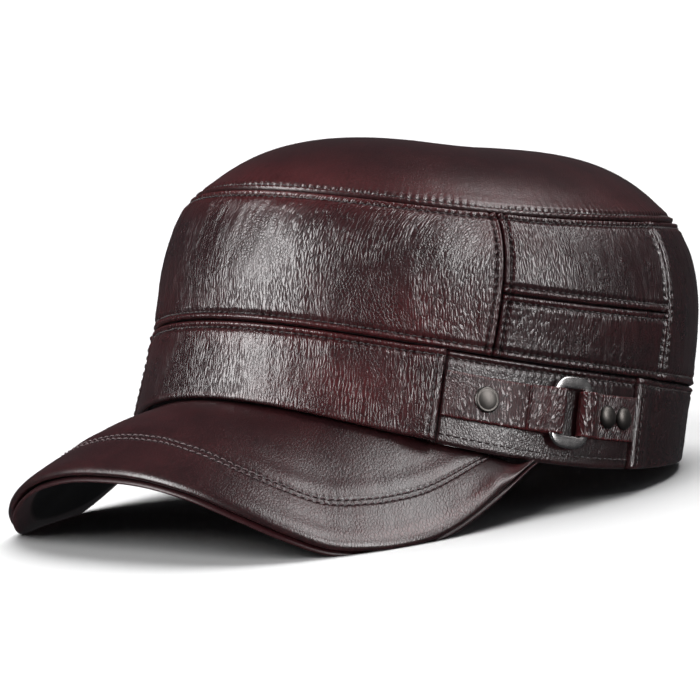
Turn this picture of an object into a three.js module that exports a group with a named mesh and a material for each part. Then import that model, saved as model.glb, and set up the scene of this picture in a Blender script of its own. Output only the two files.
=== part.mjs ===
// Leather cap with a flat-topped crown, a band with a strap and ring at each side, and a curved peak.
// Millimetres. While the pieces are shaped, the wearer faces -Y and the wearer's left is +X.
// Angles run round the head from the front (0 degrees) over the left side (90) to the back (180).
import * as THREE from "three";

// Head opening and crown
const hemHalfWidth = 86.4;
const hemHalfLength = 103;
const bandHeight = 27.9;
const shoulderHeight = 60.3;
const crownHeight = 79.2;
const domeRise = 23;
const domeSquareness = 4;

// Leather
const panelWall = 1.7;
const bandWall = 2.3;
const crownWall = 1.7;
const gap = 0.3;

// Where the panels and the bands end, in degrees round the head
const frontSeamAngle = 60.3;
const backSeamAngle = 105.7;
const frontBandAngle = 50.9;
const backBandAngle = 96.6;

// Seams: height of the seam across each side, distance of the stitches, height of the padded ridge
const sideSeamHeight = 17.5;
const stitchInset = 6.5;
const seamRidge = 0.45;
const hemRoll = 0.9;
const hemRollWidth = 5.2;
const foldedEndRise = 1.9;
const foldedEndLength = 13;

// Peak
const peakReach = 45.9;
const peakDrop = 39.7;
const peakEndAngle = 72;
const peakSquareness = 2.67;
const peakBulge = 5.4;
const peakTuck = 2;
const peakClearance = 0.5;
const peakEndStep = 2.6;
const peakFan = 0.4;
const peakCoverThickness = 2.4;
const peakRollThickness = 3.3;
const peakRollWidth = 8;
const peakStitchInset = 16.2;
const peakStitchDepth = 0.5;
const peakUnderThickness = 1.5;

// Strap, tab and ring at each side
const strapWidth = 15.2;
const strapLeather = 1.3;
const strapLine = 0.535;
const strapReturnLength = 13.4;
const tabReturnLength = 9.6;
const tabReturnFromRivet = 0.8;
const ringWidth = 18;
const ringHeight = 24.4;
const ringThickness = 1.5;
const ringWindowWidth = 9.8;
const ringSquareness = 3;
const ringWindowCorner = 0.6;

// Rivets
const strapRivetRadius = 4.4;
const strapRivetHeight = 1.2;
const strapRivetFromBand = 14.9;
const tabRivetRadius = 3.9;
const tabRivetHeight = 1.8;
const tabRivetFromBand = 6.8;
const tabRivetSpacing = 8.4;

// How far the hem and the peak's wings are flattened by the surface that the cap rests on
const restSettle = 0.6;
const restRounds = 8;

// Fineness of the walls
const crownSegments = 52;
const crownStepInward = 10.2;
const panelStepAround = 6.8;
const panelStepUp = 9.7;
const bandStepAround = 7.8;
const bandStepUp = 8.3;
const strapStep = 5.2;
const foldPieces = 6;
const ringPoints = 28;
const rivetSides = 20;
const peakHalfSteps = 15;
const peakLastRound = 0.992;
const peakCrowding = 0.4;
const derivativeStep = 1e-3;

// Level outlines of the cap. width and length are shares of the hem's half sizes, back is a share of
// hemHalfLength, and tilt, saddle and nose are shares of crownHeight that bend the outline up or down.
const outlines = {
  hem: { up: 0, width: 1, length: 1, back: 0, tilt: 0.006, saddle: 0.073, nose: 0.016 },
  band: {
    up: bandHeight,
    width: 0.975,
    length: 0.998,
    back: 0.045,
    tilt: 0.04,
    saddle: 0.026,
    nose: 0.009,
  },
  shoulder: {
    up: shoulderHeight,
    width: 0.977,
    length: 0.963,
    back: 0.056,
    tilt: -0.002,
    saddle: 0.023,
    nose: 0.011,
  },
  top: {
    up: crownHeight,
    width: 0.869,
    length: 0.888,
    back: 0.043,
    tilt: -0.044,
    saddle: 0.02,
    nose: 0.013,
  },
};

// Cross-sections of leather edges. at is a share of the edge's own width, rise a share of its height.
const seamEdge = [
  { at: 0, rise: -1.2 },
  { at: 0.4, rise: 1 },
  { at: 1, rise: 0 },
];
const hemEdge = [
  { at: 0, rise: -1 },
  { at: 0.25, rise: -0.15 },
  { at: 0.6, rise: 0.15 },
  { at: 1, rise: 0 },
];
const foldedEdge = [
  { at: 0, rise: 0.75 },
  { at: 0.12, rise: 1 },
  { at: 0.5, rise: 0.75 },
  { at: 1, rise: 0 },
];

// Outer edge of the peak, from its front centre (round 0) to its end (round 1).
// drop is a share of peakDrop.
const peakEdge = [
  { round: 0, drop: 0.54 },
  { round: 0.17, drop: 0.625 },
  { round: 0.33, drop: 0.79 },
  { round: 0.44, drop: 0.907 },
  { round: 0.56, drop: 1 },
  { round: 0.65, drop: 0.985 },
  { round: 0.73, drop: 0.935 },
  { round: 0.83, drop: 0.795 },
  { round: 0.91, drop: 0.555 },
  { round: 0.96, drop: 0.395 },
  { round: 1, drop: 0.235 },
];

// Colours, as the dark burnished leather and the grey metal show them
const leather = { color: 0x3a1a1c, roughness: 0.42, metalness: 0 };
const darkLeather = { color: 0x231517, roughness: 0.48, metalness: 0 };
const blackLeather = { color: 0x0d0b0c, roughness: 0.7, metalness: 0 };
const gunmetal = { color: 0x6f6d6a, roughness: 0.34, metalness: 1 };
const nickel = { color: 0x8f8a85, roughness: 0.36, metalness: 1 };

const radians = THREE.MathUtils.degToRad;
const across = new THREE.Vector3(1, 0, 0);

// Point of a level outline at an angle round the head.
function outlinePoint(outline, angle) {
  const lean = outline.tilt * Math.cos(angle);
  const bend = lean + outline.saddle * Math.cos(2 * angle) + outline.nose * Math.cos(3 * angle);
  return new THREE.Vector3(
    outline.width * hemHalfWidth * Math.sin(angle),
    outline.back * hemHalfLength - outline.length * hemHalfLength * Math.cos(angle),
    outline.up + bend * crownHeight,
  );
}

// Outer face of the band, from the hem (share 0) to the band seam (share 1).
function bandPoint(angle, share) {
  return outlinePoint(outlines.hem, angle).lerp(outlinePoint(outlines.band, angle), share);
}

// Outer face of the panels, from the band seam (share 0) to the top seam (share 1).
function panelPoint(angle, share) {
  const low = outlinePoint(outlines.band, angle).multiplyScalar((1 - share) * (1 - 2 * share));
  const middle = outlinePoint(outlines.shoulder, angle).multiplyScalar(4 * share * (1 - share));
  const high = outlinePoint(outlines.top, angle).multiplyScalar(share * (2 * share - 1));
  return low.add(middle).add(high);
}

// Outer face of the crown top, from the top seam (inward 0) to the centre (inward 1).
function crownPoint(angle, inward) {
  const out = 1 - inward;
  const centre = new THREE.Vector3(0, outlines.top.back * hemHalfLength, crownHeight);
  const point = centre.lerp(outlinePoint(outlines.top, angle), out);
  point.z += domeRise * (1 - out ** domeSquareness);
  return point;
}

// Piecewise straight value of a table at a place, with the named columns for place and value.
function valueAt(table, place, placeColumn, valueColumn) {
  const next = table.findIndex((row) => row[placeColumn] >= place);
  if (next < 0) return table[table.length - 1][valueColumn];
  if (next === 0) return table[0][valueColumn];
  const before = table[next - 1];
  const after = table[next];
  const share = (place - before[placeColumn]) / (after[placeColumn] - before[placeColumn]);
  return THREE.MathUtils.lerp(before[valueColumn], after[valueColumn], share);
}

const edgeRise = (table, distance, width, height) => height * valueAt(table, distance / width, "at", "rise");

// Unit normal of a surface that is given by a function of u and v.
function normalAt(surface, u, v, uRange, vRange) {
  const du = derivativeStep * (uRange[1] - uRange[0]);
  const dv = derivativeStep * (vRange[1] - vRange[0]);
  const u0 = Math.max(uRange[0], u - du);
  const u1 = Math.min(uRange[1], u + du);
  const v0 = Math.max(vRange[0], v - dv);
  const v1 = Math.min(vRange[1], v + dv);
  const alongU = surface(u1, v).sub(surface(u0, v));
  const alongV = surface(u, v1).sub(surface(u, v0));
  return alongU.cross(alongV).normalize();
}

// A closed wall on a surface, between the offsets top and bottom along the surface's normal.
// closed joins the last u line to the first, and pole ends the wall in one point at the last v line.
function wallGeometry({ surface, uLines, vLines, top, bottom, closed = false, pole = false }) {
  const uRange = [uLines[0], closed ? uLines[0] + 2 * Math.PI : uLines[uLines.length - 1]];
  const vRange = [vLines[0], vLines[vLines.length - 1]];
  const columns = uLines.length;
  const rows = pole ? vLines.length - 1 : vLines.length;
  const positions = [];
  const faces = [];
  for (const offset of [top, bottom]) {
    for (const v of vLines.slice(0, rows)) {
      for (const u of uLines) {
        const normal = normalAt(surface, u, v, uRange, vRange);
        positions.push(...surface(u, v).addScaledVector(normal, offset(u, v)).toArray());
      }
    }
  }
  const outer = (i, j) => j * columns + (i % columns);
  const inner = (i, j) => rows * columns + outer(i, j);
  const lastColumn = closed ? columns : columns - 1;
  const quad = (a, b, c, d) => faces.push(a, b, c, a, c, d);
  for (let i = 0; i < lastColumn; i++) {
    for (let j = 0; j < rows - 1; j++) {
      quad(outer(i, j), outer(i + 1, j), outer(i + 1, j + 1), outer(i, j + 1));
      quad(inner(i, j), inner(i, j + 1), inner(i + 1, j + 1), inner(i + 1, j));
    }
    quad(outer(i, 0), inner(i, 0), inner(i + 1, 0), outer(i + 1, 0));
  }
  if (pole) {
    const tip = surface(0, vRange[1]);
    const outerTip = positions.length / 3;
    positions.push(tip.x, tip.y, tip.z + top(0, vRange[1]), tip.x, tip.y, tip.z + bottom(0, vRange[1]));
    for (let i = 0; i < lastColumn; i++) {
      faces.push(outer(i, rows - 1), outer(i + 1, rows - 1), outerTip);
      faces.push(inner(i + 1, rows - 1), inner(i, rows - 1), outerTip + 1);
    }
  } else {
    const j = rows - 1;
    for (let i = 0; i < lastColumn; i++) quad(outer(i, j), outer(i + 1, j), inner(i + 1, j), inner(i, j));
  }
  if (!closed) {
    const i = columns - 1;
    for (let j = 0; j < rows - 1; j++) {
      quad(outer(0, j), outer(0, j + 1), inner(0, j + 1), inner(0, j));
      quad(outer(i, j), inner(i, j), inner(i, j + 1), outer(i, j + 1));
    }
  }
  const geometry = new THREE.BufferGeometry();
  geometry.setAttribute("position", new THREE.Float32BufferAttribute(positions, 3));
  geometry.setIndex(faces);
  geometry.computeVertexNormals();
  return geometry;
}

// Length of a curve, and the parameter and the place at a length, measured along straight pieces.
function measureCurve(curve, from, to, pieces = 120) {
  const places = [{ length: 0, parameter: from }];
  let last = curve(from);
  let length = 0;
  for (let i = 1; i <= pieces; i++) {
    const parameter = THREE.MathUtils.lerp(from, to, i / pieces);
    const point = curve(parameter);
    length += point.distanceTo(last);
    places.push({ length, parameter });
    last = point;
  }
  return {
    length,
    parameterAt: (distance) => valueAt(places, distance, "length", "parameter"),
    lengthAt: (parameter) => valueAt(places, parameter, "parameter", "length"),
  };
}

// Distances from 0 to length with extra lines near each edge, and even lines of about one step between.
function edgedLines(length, startEdge, endEdge, step) {
  const first = startEdge[startEdge.length - 1];
  const last = length - endEdge[endEdge.length - 1];
  const count = Math.max(1, Math.round((last - first) / step));
  const lines = [...startEdge];
  for (let i = 1; i < count; i++) lines.push(THREE.MathUtils.lerp(first, last, i / count));
  return [...lines, ...endEdge.map((distance) => length - distance).reverse()];
}

const edgeLines = (table, width) => table.map((row) => row.at * width);

// A wall that is measured in millimetres: u along its lower edge and v up from that edge.
// Each edge has a table, a width and a height for its cross-section.
function cutPanel({ surface, fromAngle, toAngle, vFrom, vTo, wall, edges, uStep, vStep }) {
  const middleAngle = (fromAngle + toAngle) / 2;
  const up = measureCurve((share) => surface(middleAngle, share), 0, 1);
  const low = vFrom * up.length + (vFrom > 0 ? gap / 2 : edges.bottom.clearance);
  const high = vTo * up.length - gap / 2;
  const alongShare = up.parameterAt((low + high) / 2);
  const along = measureCurve((angle) => surface(angle, alongShare), fromAngle, toAngle);
  const lineSet = (edge) => edgeLines(edge.table, edge.width);
  const uDistances = edgedLines(along.length - gap, lineSet(edges.start), lineSet(edges.end), uStep);
  const vDistances = edgedLines(high - low, lineSet(edges.bottom), lineSet(edges.top), vStep);
  const rise = (u, v) => {
    const right = along.lengthAt(u) - gap / 2;
    const above = up.lengthAt(v) - low;
    const risen = (edge, distance) => edgeRise(edge.table, Math.max(0, distance), edge.width, edge.height);
    const sideways = risen(edges.start, right) + risen(edges.end, along.length - gap - right);
    return sideways + risen(edges.bottom, above) + risen(edges.top, high - low - above);
  };
  return wallGeometry({
    surface,
    uLines: uDistances.map((distance) => along.parameterAt(distance + gap / 2)),
    vLines: vDistances.map((distance) => up.parameterAt(distance + low)),
    top: rise,
    bottom: () => -wall,
  });
}

const seam = { table: seamEdge, width: stitchInset, height: seamRidge, clearance: gap / 2 };
const hem = { table: hemEdge, width: hemRollWidth, height: hemRoll, clearance: 0 };
const foldedEnd = { table: foldedEdge, width: foldedEndLength, height: foldedEndRise };
const plainEnd = { table: [{ at: 0, rise: 0 }], width: 1, height: 0 };

function panel(fromDegrees, toDegrees, vFrom = 0, vTo = 1) {
  return cutPanel({
    surface: panelPoint,
    fromAngle: radians(fromDegrees),
    toAngle: radians(toDegrees),
    vFrom,
    vTo,
    wall: panelWall,
    edges: { start: seam, end: seam, bottom: seam, top: seam },
    uStep: panelStepAround,
    vStep: panelStepUp,
  });
}

function band(fromDegrees, toDegrees, end) {
  return cutPanel({
    surface: bandPoint,
    fromAngle: radians(fromDegrees),
    toAngle: radians(toDegrees),
    vFrom: 0,
    vTo: 1,
    wall: bandWall,
    edges: { start: end, end, bottom: hem, top: seam },
    uStep: bandStepAround,
    vStep: bandStepUp,
  });
}

// The crown top: one disc, drawn down at its edge to the top seam.
function crownTop() {
  const inward = measureCurve((share) => crownPoint(Math.PI / 2, share), 0, 1);
  const seamLines = edgeLines(seamEdge, stitchInset);
  const distances = edgedLines(inward.length - gap / 2, seamLines, [0], crownStepInward);
  return wallGeometry({
    surface: crownPoint,
    uLines: Array.from({ length: crownSegments }, (_, i) => (2 * Math.PI * i) / crownSegments),
    vLines: distances.map((distance) => inward.parameterAt(distance + gap / 2)),
    top: (u, v) => edgeRise(seamEdge, Math.max(0, inward.lengthAt(v) - gap / 2), stitchInset, seamRidge),
    bottom: () => -crownWall,
    closed: true,
    pole: true,
  });
}

// Height of the peak's edge below the hem's level, as a smooth curve through the rows of peakEdge.
const rightEdge = peakEdge
  .slice(1)
  .reverse()
  .map((row) => ({ ...row, round: -row.round }));
const peakEdgeCurve = new THREE.CatmullRomCurve3(
  [...rightEdge, ...peakEdge].map((row) => new THREE.Vector3(row.round, row.drop * peakDrop, 0)),
  false,
  "centripetal",
);
const peakEdgeSamples = peakEdgeCurve
  .getPoints(peakEdge.length * 24)
  .map((point) => ({ round: point.x, drop: point.y }));

// The line of the stitched groove round the peak's outer edge. round runs from -1 to 1.
function peakEdgePoint(round) {
  const end = outlinePoint(outlines.hem, radians(peakEndAngle));
  const halfWidth = end.x + peakEndStep;
  const turn = (round * Math.PI) / 2;
  const power = 2 / peakSquareness;
  const x = halfWidth * Math.sign(round) * Math.abs(Math.sin(turn)) ** power;
  const y = end.y - (hemHalfLength + peakReach + end.y) * Math.abs(Math.cos(turn)) ** power;
  return new THREE.Vector3(x, y, -valueAt(peakEdgeSamples, round, "round", "drop"));
}

// The line just below the hem and inside it, which the peak's upper face starts from.
function peakTuckPoint(round) {
  const angle = radians(peakEndAngle) * (peakFan * round + (1 - peakFan) * round ** 3);
  const out = normalAt(bandPoint, angle, 0, [-Math.PI, Math.PI], [0, 1]);
  const up = bandPoint(angle, 1).sub(bandPoint(angle, 0)).normalize();
  return bandPoint(angle, 0).addScaledVector(out, -peakTuck).addScaledVector(up, -peakClearance);
}

// The inner line of the face between the covers: the upper cover's thickness under the tuck line.
function peakRootPoint(round) {
  const tuck = peakTuckPoint(round);
  const along = peakTuckPoint(round + derivativeStep).sub(peakTuckPoint(round - derivativeStep));
  const inward = peakTuckPoint(round).sub(peakEdgePoint(round));
  const down = inward.cross(along).normalize();
  return tuck.addScaledVector(down, peakCoverThickness + gap / 2);
}

// The face between the peak's two covers, from its outer edge (inward 0) to its root (inward 1).
function peakPoint(round, inward) {
  const point = peakEdgePoint(round).lerp(peakRootPoint(round), inward);
  point.z += peakBulge * Math.sin(Math.PI * inward) * (1 - round ** 2);
  return point;
}

// Lines round the peak lie closer together where its ends curve in under the band.
function peakRounds() {
  const rounds = [];
  for (let i = -peakHalfSteps; i <= peakHalfSteps; i++) {
    const share = i / peakHalfSteps;
    rounds.push(peakLastRound * ((1 + peakCrowding) * share - peakCrowding * share ** 3));
  }
  return rounds;
}

function peakSections(round) {
  const width = peakEdgePoint(round).distanceTo(peakRootPoint(round));
  const roll = Math.min(peakRollWidth, 0.5 * width);
  return { width, roll, stitch: Math.min(peakStitchInset, 0.8 * width) };
}

// Thickness of the upper cover over the face between the covers, by the distance from the outer edge.
function peakCoverTop(round, inward) {
  const { width, roll, stitch } = peakSections(round);
  const distance = inward * width;
  const section = [
    { from: 0, thick: 0.45 * peakRollThickness },
    { from: 0.12 * roll, thick: 0.8 * peakRollThickness },
    { from: 0.4 * roll, thick: peakRollThickness },
    { from: roll, thick: peakCoverThickness },
    { from: stitch, thick: peakCoverThickness - peakStitchDepth },
    { from: stitch + 0.25 * (width - stitch), thick: peakCoverThickness + 0.5 * peakStitchDepth },
    { from: width, thick: peakCoverThickness },
  ];
  return gap / 2 + valueAt(section, distance, "from", "thick");
}

const peakInwardLines = [0, 0.02, 0.06, 0.14, 0.24, 0.33, 0.42, 0.62, 0.8, 1];
const peakUnderLines = [0, 0.03, 0.12, 0.35, 0.6, 0.8, 1];

function peakTop() {
  return wallGeometry({
    surface: peakPoint,
    uLines: peakRounds(),
    vLines: peakInwardLines,
    top: peakCoverTop,
    bottom: () => gap / 2,
  });
}

function peakUnderside() {
  return wallGeometry({
    surface: peakPoint,
    uLines: peakRounds(),
    vLines: peakUnderLines,
    top: () => -gap / 2,
    bottom: (round, inward) => -gap / 2 - peakUnderThickness * (inward === 0 ? 0.6 : 1),
  });
}

// Distances round the band at the height of the straps, from the front centre to the back centre.
const strapCourse = measureCurve((angle) => bandPoint(angle, strapLine), 0, Math.PI);

// The strap starts at the front band's end, and the tab at the back band's end. The tab's rivets and its
// returned layer lie one after the other between the back band and the ring.
const strapStart = strapCourse.lengthAt(radians(frontBandAngle)) + gap;
const tabStart = strapCourse.lengthAt(radians(backBandAngle)) - gap;
const backRivetCourse = tabStart - tabRivetFromBand;
const frontRivetCourse = backRivetCourse - tabRivetSpacing;
const tabReturnEnd = frontRivetCourse - tabRivetRadius - tabReturnFromRivet;
const ringCourse = tabReturnEnd - tabReturnLength - (ringWindowWidth / 2 - gap - strapLeather);

// Place and directions on the band: course is the distance round it, up and out are from the straps' line.
function onBand(course, up, out) {
  const angle = strapCourse.parameterAt(course);
  const height = bandPoint(angle, 0).distanceTo(bandPoint(angle, 1));
  const share = strapLine + up / height;
  const normal = normalAt(bandPoint, angle, share, [-Math.PI, Math.PI], [0, 1]);
  return { point: bandPoint(angle, share).addScaledVector(normal, out), normal };
}

// Bends a flat piece round the band. place gives the course, up and out of a flat vertex.
function bendOntoBand(flat, place) {
  const geometry = new THREE.BufferGeometry();
  const positions = flat.getAttribute("position").clone();
  const vertex = new THREE.Vector3();
  for (let i = 0; i < positions.count; i++) {
    const { course, up, out } = place(vertex.fromBufferAttribute(positions, i));
    positions.setXYZ(i, ...onBand(course, up, out).point.toArray());
  }
  geometry.setAttribute("position", positions);
  return facingOut(geometry);
}

// Turns each face round where a geometry's faces point inwards.
function facingOut(geometry) {
  const positions = geometry.getAttribute("position");
  const [a, b, c] = [new THREE.Vector3(), new THREE.Vector3(), new THREE.Vector3()];
  let volume = 0;
  for (let i = 0; i < positions.count; i += 3) {
    a.fromBufferAttribute(positions, i);
    b.fromBufferAttribute(positions, i + 1);
    c.fromBufferAttribute(positions, i + 2);
    volume += a.dot(b.cross(c)) / 6;
  }
  if (volume < 0) {
    for (let i = 0; i < positions.count; i += 3) {
      b.fromBufferAttribute(positions, i + 1);
      c.fromBufferAttribute(positions, i + 2);
      positions.setXYZ(i + 1, ...c.toArray());
      positions.setXYZ(i + 2, ...b.toArray());
    }
  }
  geometry.computeVertexNormals();
  return geometry;
}

// Side view of a strap that is folded round one bar of the ring. x runs away from the ring's centre.
function foldedStrapShape(length, returnLength) {
  const layerTop = gap + strapLeather;
  const slotTop = layerTop + ringThickness + 2 * gap;
  const slotStart = ringWindowWidth / 2 - gap;
  const slotEnd = ringWidth / 2 + gap;
  const foldRadius = (slotTop + strapLeather - gap) / 2;
  const foldStart = slotStart - strapLeather + foldRadius;
  const step = foldStart - foldRadius + returnLength;
  const shape = new THREE.Shape();
  shape.moveTo(foldStart, gap);
  const straight = (x0, x1, y) => {
    const count = Math.ceil(Math.abs(x1 - x0) / strapStep);
    for (let i = 1; i <= count; i++) shape.lineTo(THREE.MathUtils.lerp(x0, x1, i / count), y);
  };
  straight(foldStart, length, gap);
  shape.lineTo(length, layerTop);
  straight(length, step, layerTop);
  shape.lineTo(step, layerTop + strapLeather);
  shape.lineTo(slotEnd, slotTop + strapLeather);
  shape.lineTo(foldStart, slotTop + strapLeather);
  const foldCentre = gap + foldRadius;
  for (let i = 1; i < foldPieces; i++) {
    const turn = Math.PI / 2 + (Math.PI * i) / foldPieces;
    shape.lineTo(foldStart + foldRadius * Math.cos(turn), foldCentre + foldRadius * Math.sin(turn));
  }
  shape.closePath();
  const slot = new THREE.Path();
  slot.moveTo(slotStart, layerTop);
  slot.lineTo(slotStart, slotTop);
  slot.lineTo(slotEnd, slotTop);
  slot.lineTo(slotEnd, layerTop);
  slot.closePath();
  shape.holes.push(slot);
  return shape;
}

// A strap or tab on the band. direction is -1 towards the front and 1 towards the back.
function foldedStrap(length, returnLength, direction, side) {
  const shape = foldedStrapShape(length, returnLength);
  const flat = new THREE.ExtrudeGeometry(shape, { depth: strapWidth, steps: 2, bevelEnabled: false });
  const bent = bendOntoBand(flat, (vertex) => ({
    course: ringCourse + direction * vertex.x,
    up: vertex.z - strapWidth / 2,
    out: vertex.y,
  }));
  return facingOut(mirrored(bent, side));
}

function mirrored(geometry, side) {
  return side > 0 ? geometry : facingOut(geometry.scale(-1, 1, 1));
}

// The flat oval ring, bent a little to the band and open in the middle for the strap and the tab.
function ring(side) {
  const shape = new THREE.Shape();
  const power = 2 / ringSquareness;
  for (let i = 0; i < ringPoints; i++) {
    const turn = (2 * Math.PI * i) / ringPoints;
    const x = (ringWidth / 2) * Math.sign(Math.cos(turn)) * Math.abs(Math.cos(turn)) ** power;
    const y = (ringHeight / 2) * Math.sign(Math.sin(turn)) * Math.abs(Math.sin(turn)) ** power;
    if (i === 0) shape.moveTo(x, y);
    else shape.lineTo(x, y);
  }
  shape.closePath();
  const halfWidth = ringWindowWidth / 2;
  const halfHeight = strapWidth / 2 + gap;
  const corner = ringWindowCorner;
  const window = new THREE.Path();
  window.moveTo(-halfWidth + corner, -halfHeight);
  window.lineTo(-halfWidth, -halfHeight + corner);
  window.lineTo(-halfWidth, halfHeight - corner);
  window.lineTo(-halfWidth + corner, halfHeight);
  window.lineTo(halfWidth - corner, halfHeight);
  window.lineTo(halfWidth, halfHeight - corner);
  window.lineTo(halfWidth, -halfHeight + corner);
  window.lineTo(halfWidth - corner, -halfHeight);
  window.closePath();
  shape.holes.push(window);
  const flat = new THREE.ExtrudeGeometry(shape, { depth: ringThickness, steps: 1, bevelEnabled: false });
  const bent = bendOntoBand(flat, (vertex) => ({
    course: ringCourse + vertex.x,
    up: vertex.y,
    out: vertex.z + 2 * gap + strapLeather,
  }));
  return mirrored(bent, side);
}

// A rivet's head, turned round its own +Y.
function rivetHead(radius, height, profile) {
  const points = [new THREE.Vector2(0, 0), new THREE.Vector2(radius, 0)];
  for (const row of profile) points.push(new THREE.Vector2(row.out * radius, row.up * height));
  return new THREE.LatheGeometry(points, rivetSides);
}

const flatHead = [
  { out: 1, up: 0.35 },
  { out: 0.94, up: 0.75 },
  { out: 0.84, up: 0.95 },
  { out: 0, up: 1 },
];
const domedHead = [
  { out: 0.98, up: 0.25 },
  { out: 0.86, up: 0.6 },
  { out: 0.6, up: 0.88 },
  { out: 0.3, up: 0.98 },
  { out: 0, up: 1 },
];

const cap = new THREE.Group();

function addMesh(name, geometry, finish) {
  const mesh = new THREE.Mesh(geometry, new THREE.MeshStandardMaterial(finish));
  mesh.name = name;
  cap.add(mesh);
  return mesh;
}

// Seats a rivet's head on a strap's upper layer.
function addRivet(name, geometry, course, side) {
  const { point, normal } = onBand(course, 0, 2 * gap + strapLeather);
  const mesh = addMesh(name, geometry, nickel);
  mesh.position.set(side * point.x, point.y, point.z);
  normal.x *= side;
  mesh.quaternion.setFromUnitVectors(new THREE.Vector3(0, 1, 0), normal);
}

// The parts of one side that the other side mirrors.
function addSide(label, side) {
  const span = (from, to) => (side > 0 ? [from, to] : [-to, -from]);
  const panelRun = measureCurve((share) => panelPoint(Math.PI / 2, share), 0, 1).length;
  const seamShare = sideSeamHeight / panelRun;
  const panelSpan = span(frontSeamAngle, backSeamAngle);
  addMesh(`side_panel_upper_${label}`, panel(...panelSpan, seamShare, 1), darkLeather);
  addMesh(`side_panel_lower_${label}`, panel(...panelSpan, 0, seamShare), darkLeather);
  addMesh(`side_band_${label}`, band(...span(frontBandAngle, backBandAngle), plainEnd), darkLeather);

  const strap = foldedStrap(ringCourse - strapStart, strapReturnLength, -1, side);
  const tab = foldedStrap(tabStart - ringCourse, tabReturnLength, 1, side);
  addMesh(`strap_${label}`, strap, leather);
  addMesh(`strap_tab_${label}`, tab, leather);
  addMesh(`ring_${label}`, ring(side), gunmetal);

  const flat = () => rivetHead(strapRivetRadius, strapRivetHeight, flatHead);
  const domed = () => rivetHead(tabRivetRadius, tabRivetHeight, domedHead);
  addRivet(`strap_rivet_${label}`, flat(), strapStart + strapRivetFromBand, side);
  addRivet(`tab_rivet_front_${label}`, domed(), frontRivetCourse, side);
  addRivet(`tab_rivet_back_${label}`, domed(), backRivetCourse, side);
}

addMesh("crown_top", crownTop(), leather);
addMesh("front_panel", panel(-frontSeamAngle, frontSeamAngle), leather);
addMesh("back_panel", panel(backSeamAngle, 360 - backSeamAngle), darkLeather);
addMesh("front_band", band(-frontBandAngle, frontBandAngle, foldedEnd), leather);
addMesh("back_band", band(backBandAngle, 360 - backBandAngle, foldedEnd), darkLeather);
addMesh("peak_top", peakTop(), leather);
addMesh("peak_underside", peakUnderside(), blackLeather);
addSide("left", 1);
addSide("right", -1);

// All corners of the cap, with the group's present place.
function corners() {
  cap.updateMatrixWorld(true);
  const found = [];
  cap.traverse((mesh) => {
    if (!mesh.isMesh) return;
    const positions = mesh.geometry.getAttribute("position");
    for (let i = 0; i < positions.count; i++) {
      found.push(new THREE.Vector3().fromBufferAttribute(positions, i).applyMatrix4(mesh.matrixWorld));
    }
  });
  return found;
}

// The cap rests on the wings of its peak and on the back of its hem, so it leans back on a table.
function layOnTable() {
  const loose = corners();
  const lowest = (points) => points.reduce((low, point) => (point.z < low.z ? point : low));
  for (let i = 0; i < restRounds; i++) {
    const turned = loose.map((point) => point.clone().applyAxisAngle(across, cap.rotation.x));
    const front = lowest(turned.filter((point) => point.y < 0));
    const back = lowest(turned.filter((point) => point.y > 0));
    cap.rotation.x -= Math.atan2(back.z - front.z, back.y - front.y);
  }
  const box = new THREE.Box3().setFromPoints(corners());
  cap.position.y = -(box.min.y + box.max.y) / 2;
  cap.position.z = -box.min.z - restSettle;
}

// The leather gives way where it lies on the table.
function flattenUnderside() {
  cap.updateMatrixWorld(true);
  const corner = new THREE.Vector3();
  for (const mesh of cap.children) {
    const positions = mesh.geometry.getAttribute("position");
    for (let i = 0; i < positions.count; i++) {
      corner.fromBufferAttribute(positions, i).applyMatrix4(mesh.matrixWorld);
      if (corner.z >= 0) continue;
      corner.z = 0;
      mesh.worldToLocal(corner);
      positions.setXYZ(i, corner.x, corner.y, corner.z);
    }
    mesh.geometry.computeVertexNormals();
  }
}

layOnTable();
flattenUnderside();

const model = new THREE.Group();
model.add(cap);

export default model;
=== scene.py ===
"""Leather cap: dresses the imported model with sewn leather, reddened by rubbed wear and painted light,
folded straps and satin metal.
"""

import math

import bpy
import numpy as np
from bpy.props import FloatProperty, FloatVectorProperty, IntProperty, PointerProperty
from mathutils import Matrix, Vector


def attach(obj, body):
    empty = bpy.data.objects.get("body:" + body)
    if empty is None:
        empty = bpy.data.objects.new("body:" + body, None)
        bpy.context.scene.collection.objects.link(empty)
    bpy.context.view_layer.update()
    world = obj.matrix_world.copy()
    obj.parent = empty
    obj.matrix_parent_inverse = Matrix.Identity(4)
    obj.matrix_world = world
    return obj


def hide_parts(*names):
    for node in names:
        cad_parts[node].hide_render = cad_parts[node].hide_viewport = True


bl_info = {
    "name": "Leather Cap",
    "version": (1, 0, 0),
    "blender": (4, 5, 0),
    "location": "View3D > Sidebar > Cap",
    "description": "Builds the leather, seams, straps and metal of a cap round its packed model",
    "category": "Object",
}

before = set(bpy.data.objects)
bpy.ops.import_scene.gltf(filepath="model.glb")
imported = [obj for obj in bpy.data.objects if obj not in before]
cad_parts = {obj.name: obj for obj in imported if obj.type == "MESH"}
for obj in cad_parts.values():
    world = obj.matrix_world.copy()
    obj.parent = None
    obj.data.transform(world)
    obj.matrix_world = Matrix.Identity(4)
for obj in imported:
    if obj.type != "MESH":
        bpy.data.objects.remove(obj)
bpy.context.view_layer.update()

MM = 0.001
SIDES = {"left": 1, "right": -1}

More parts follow.
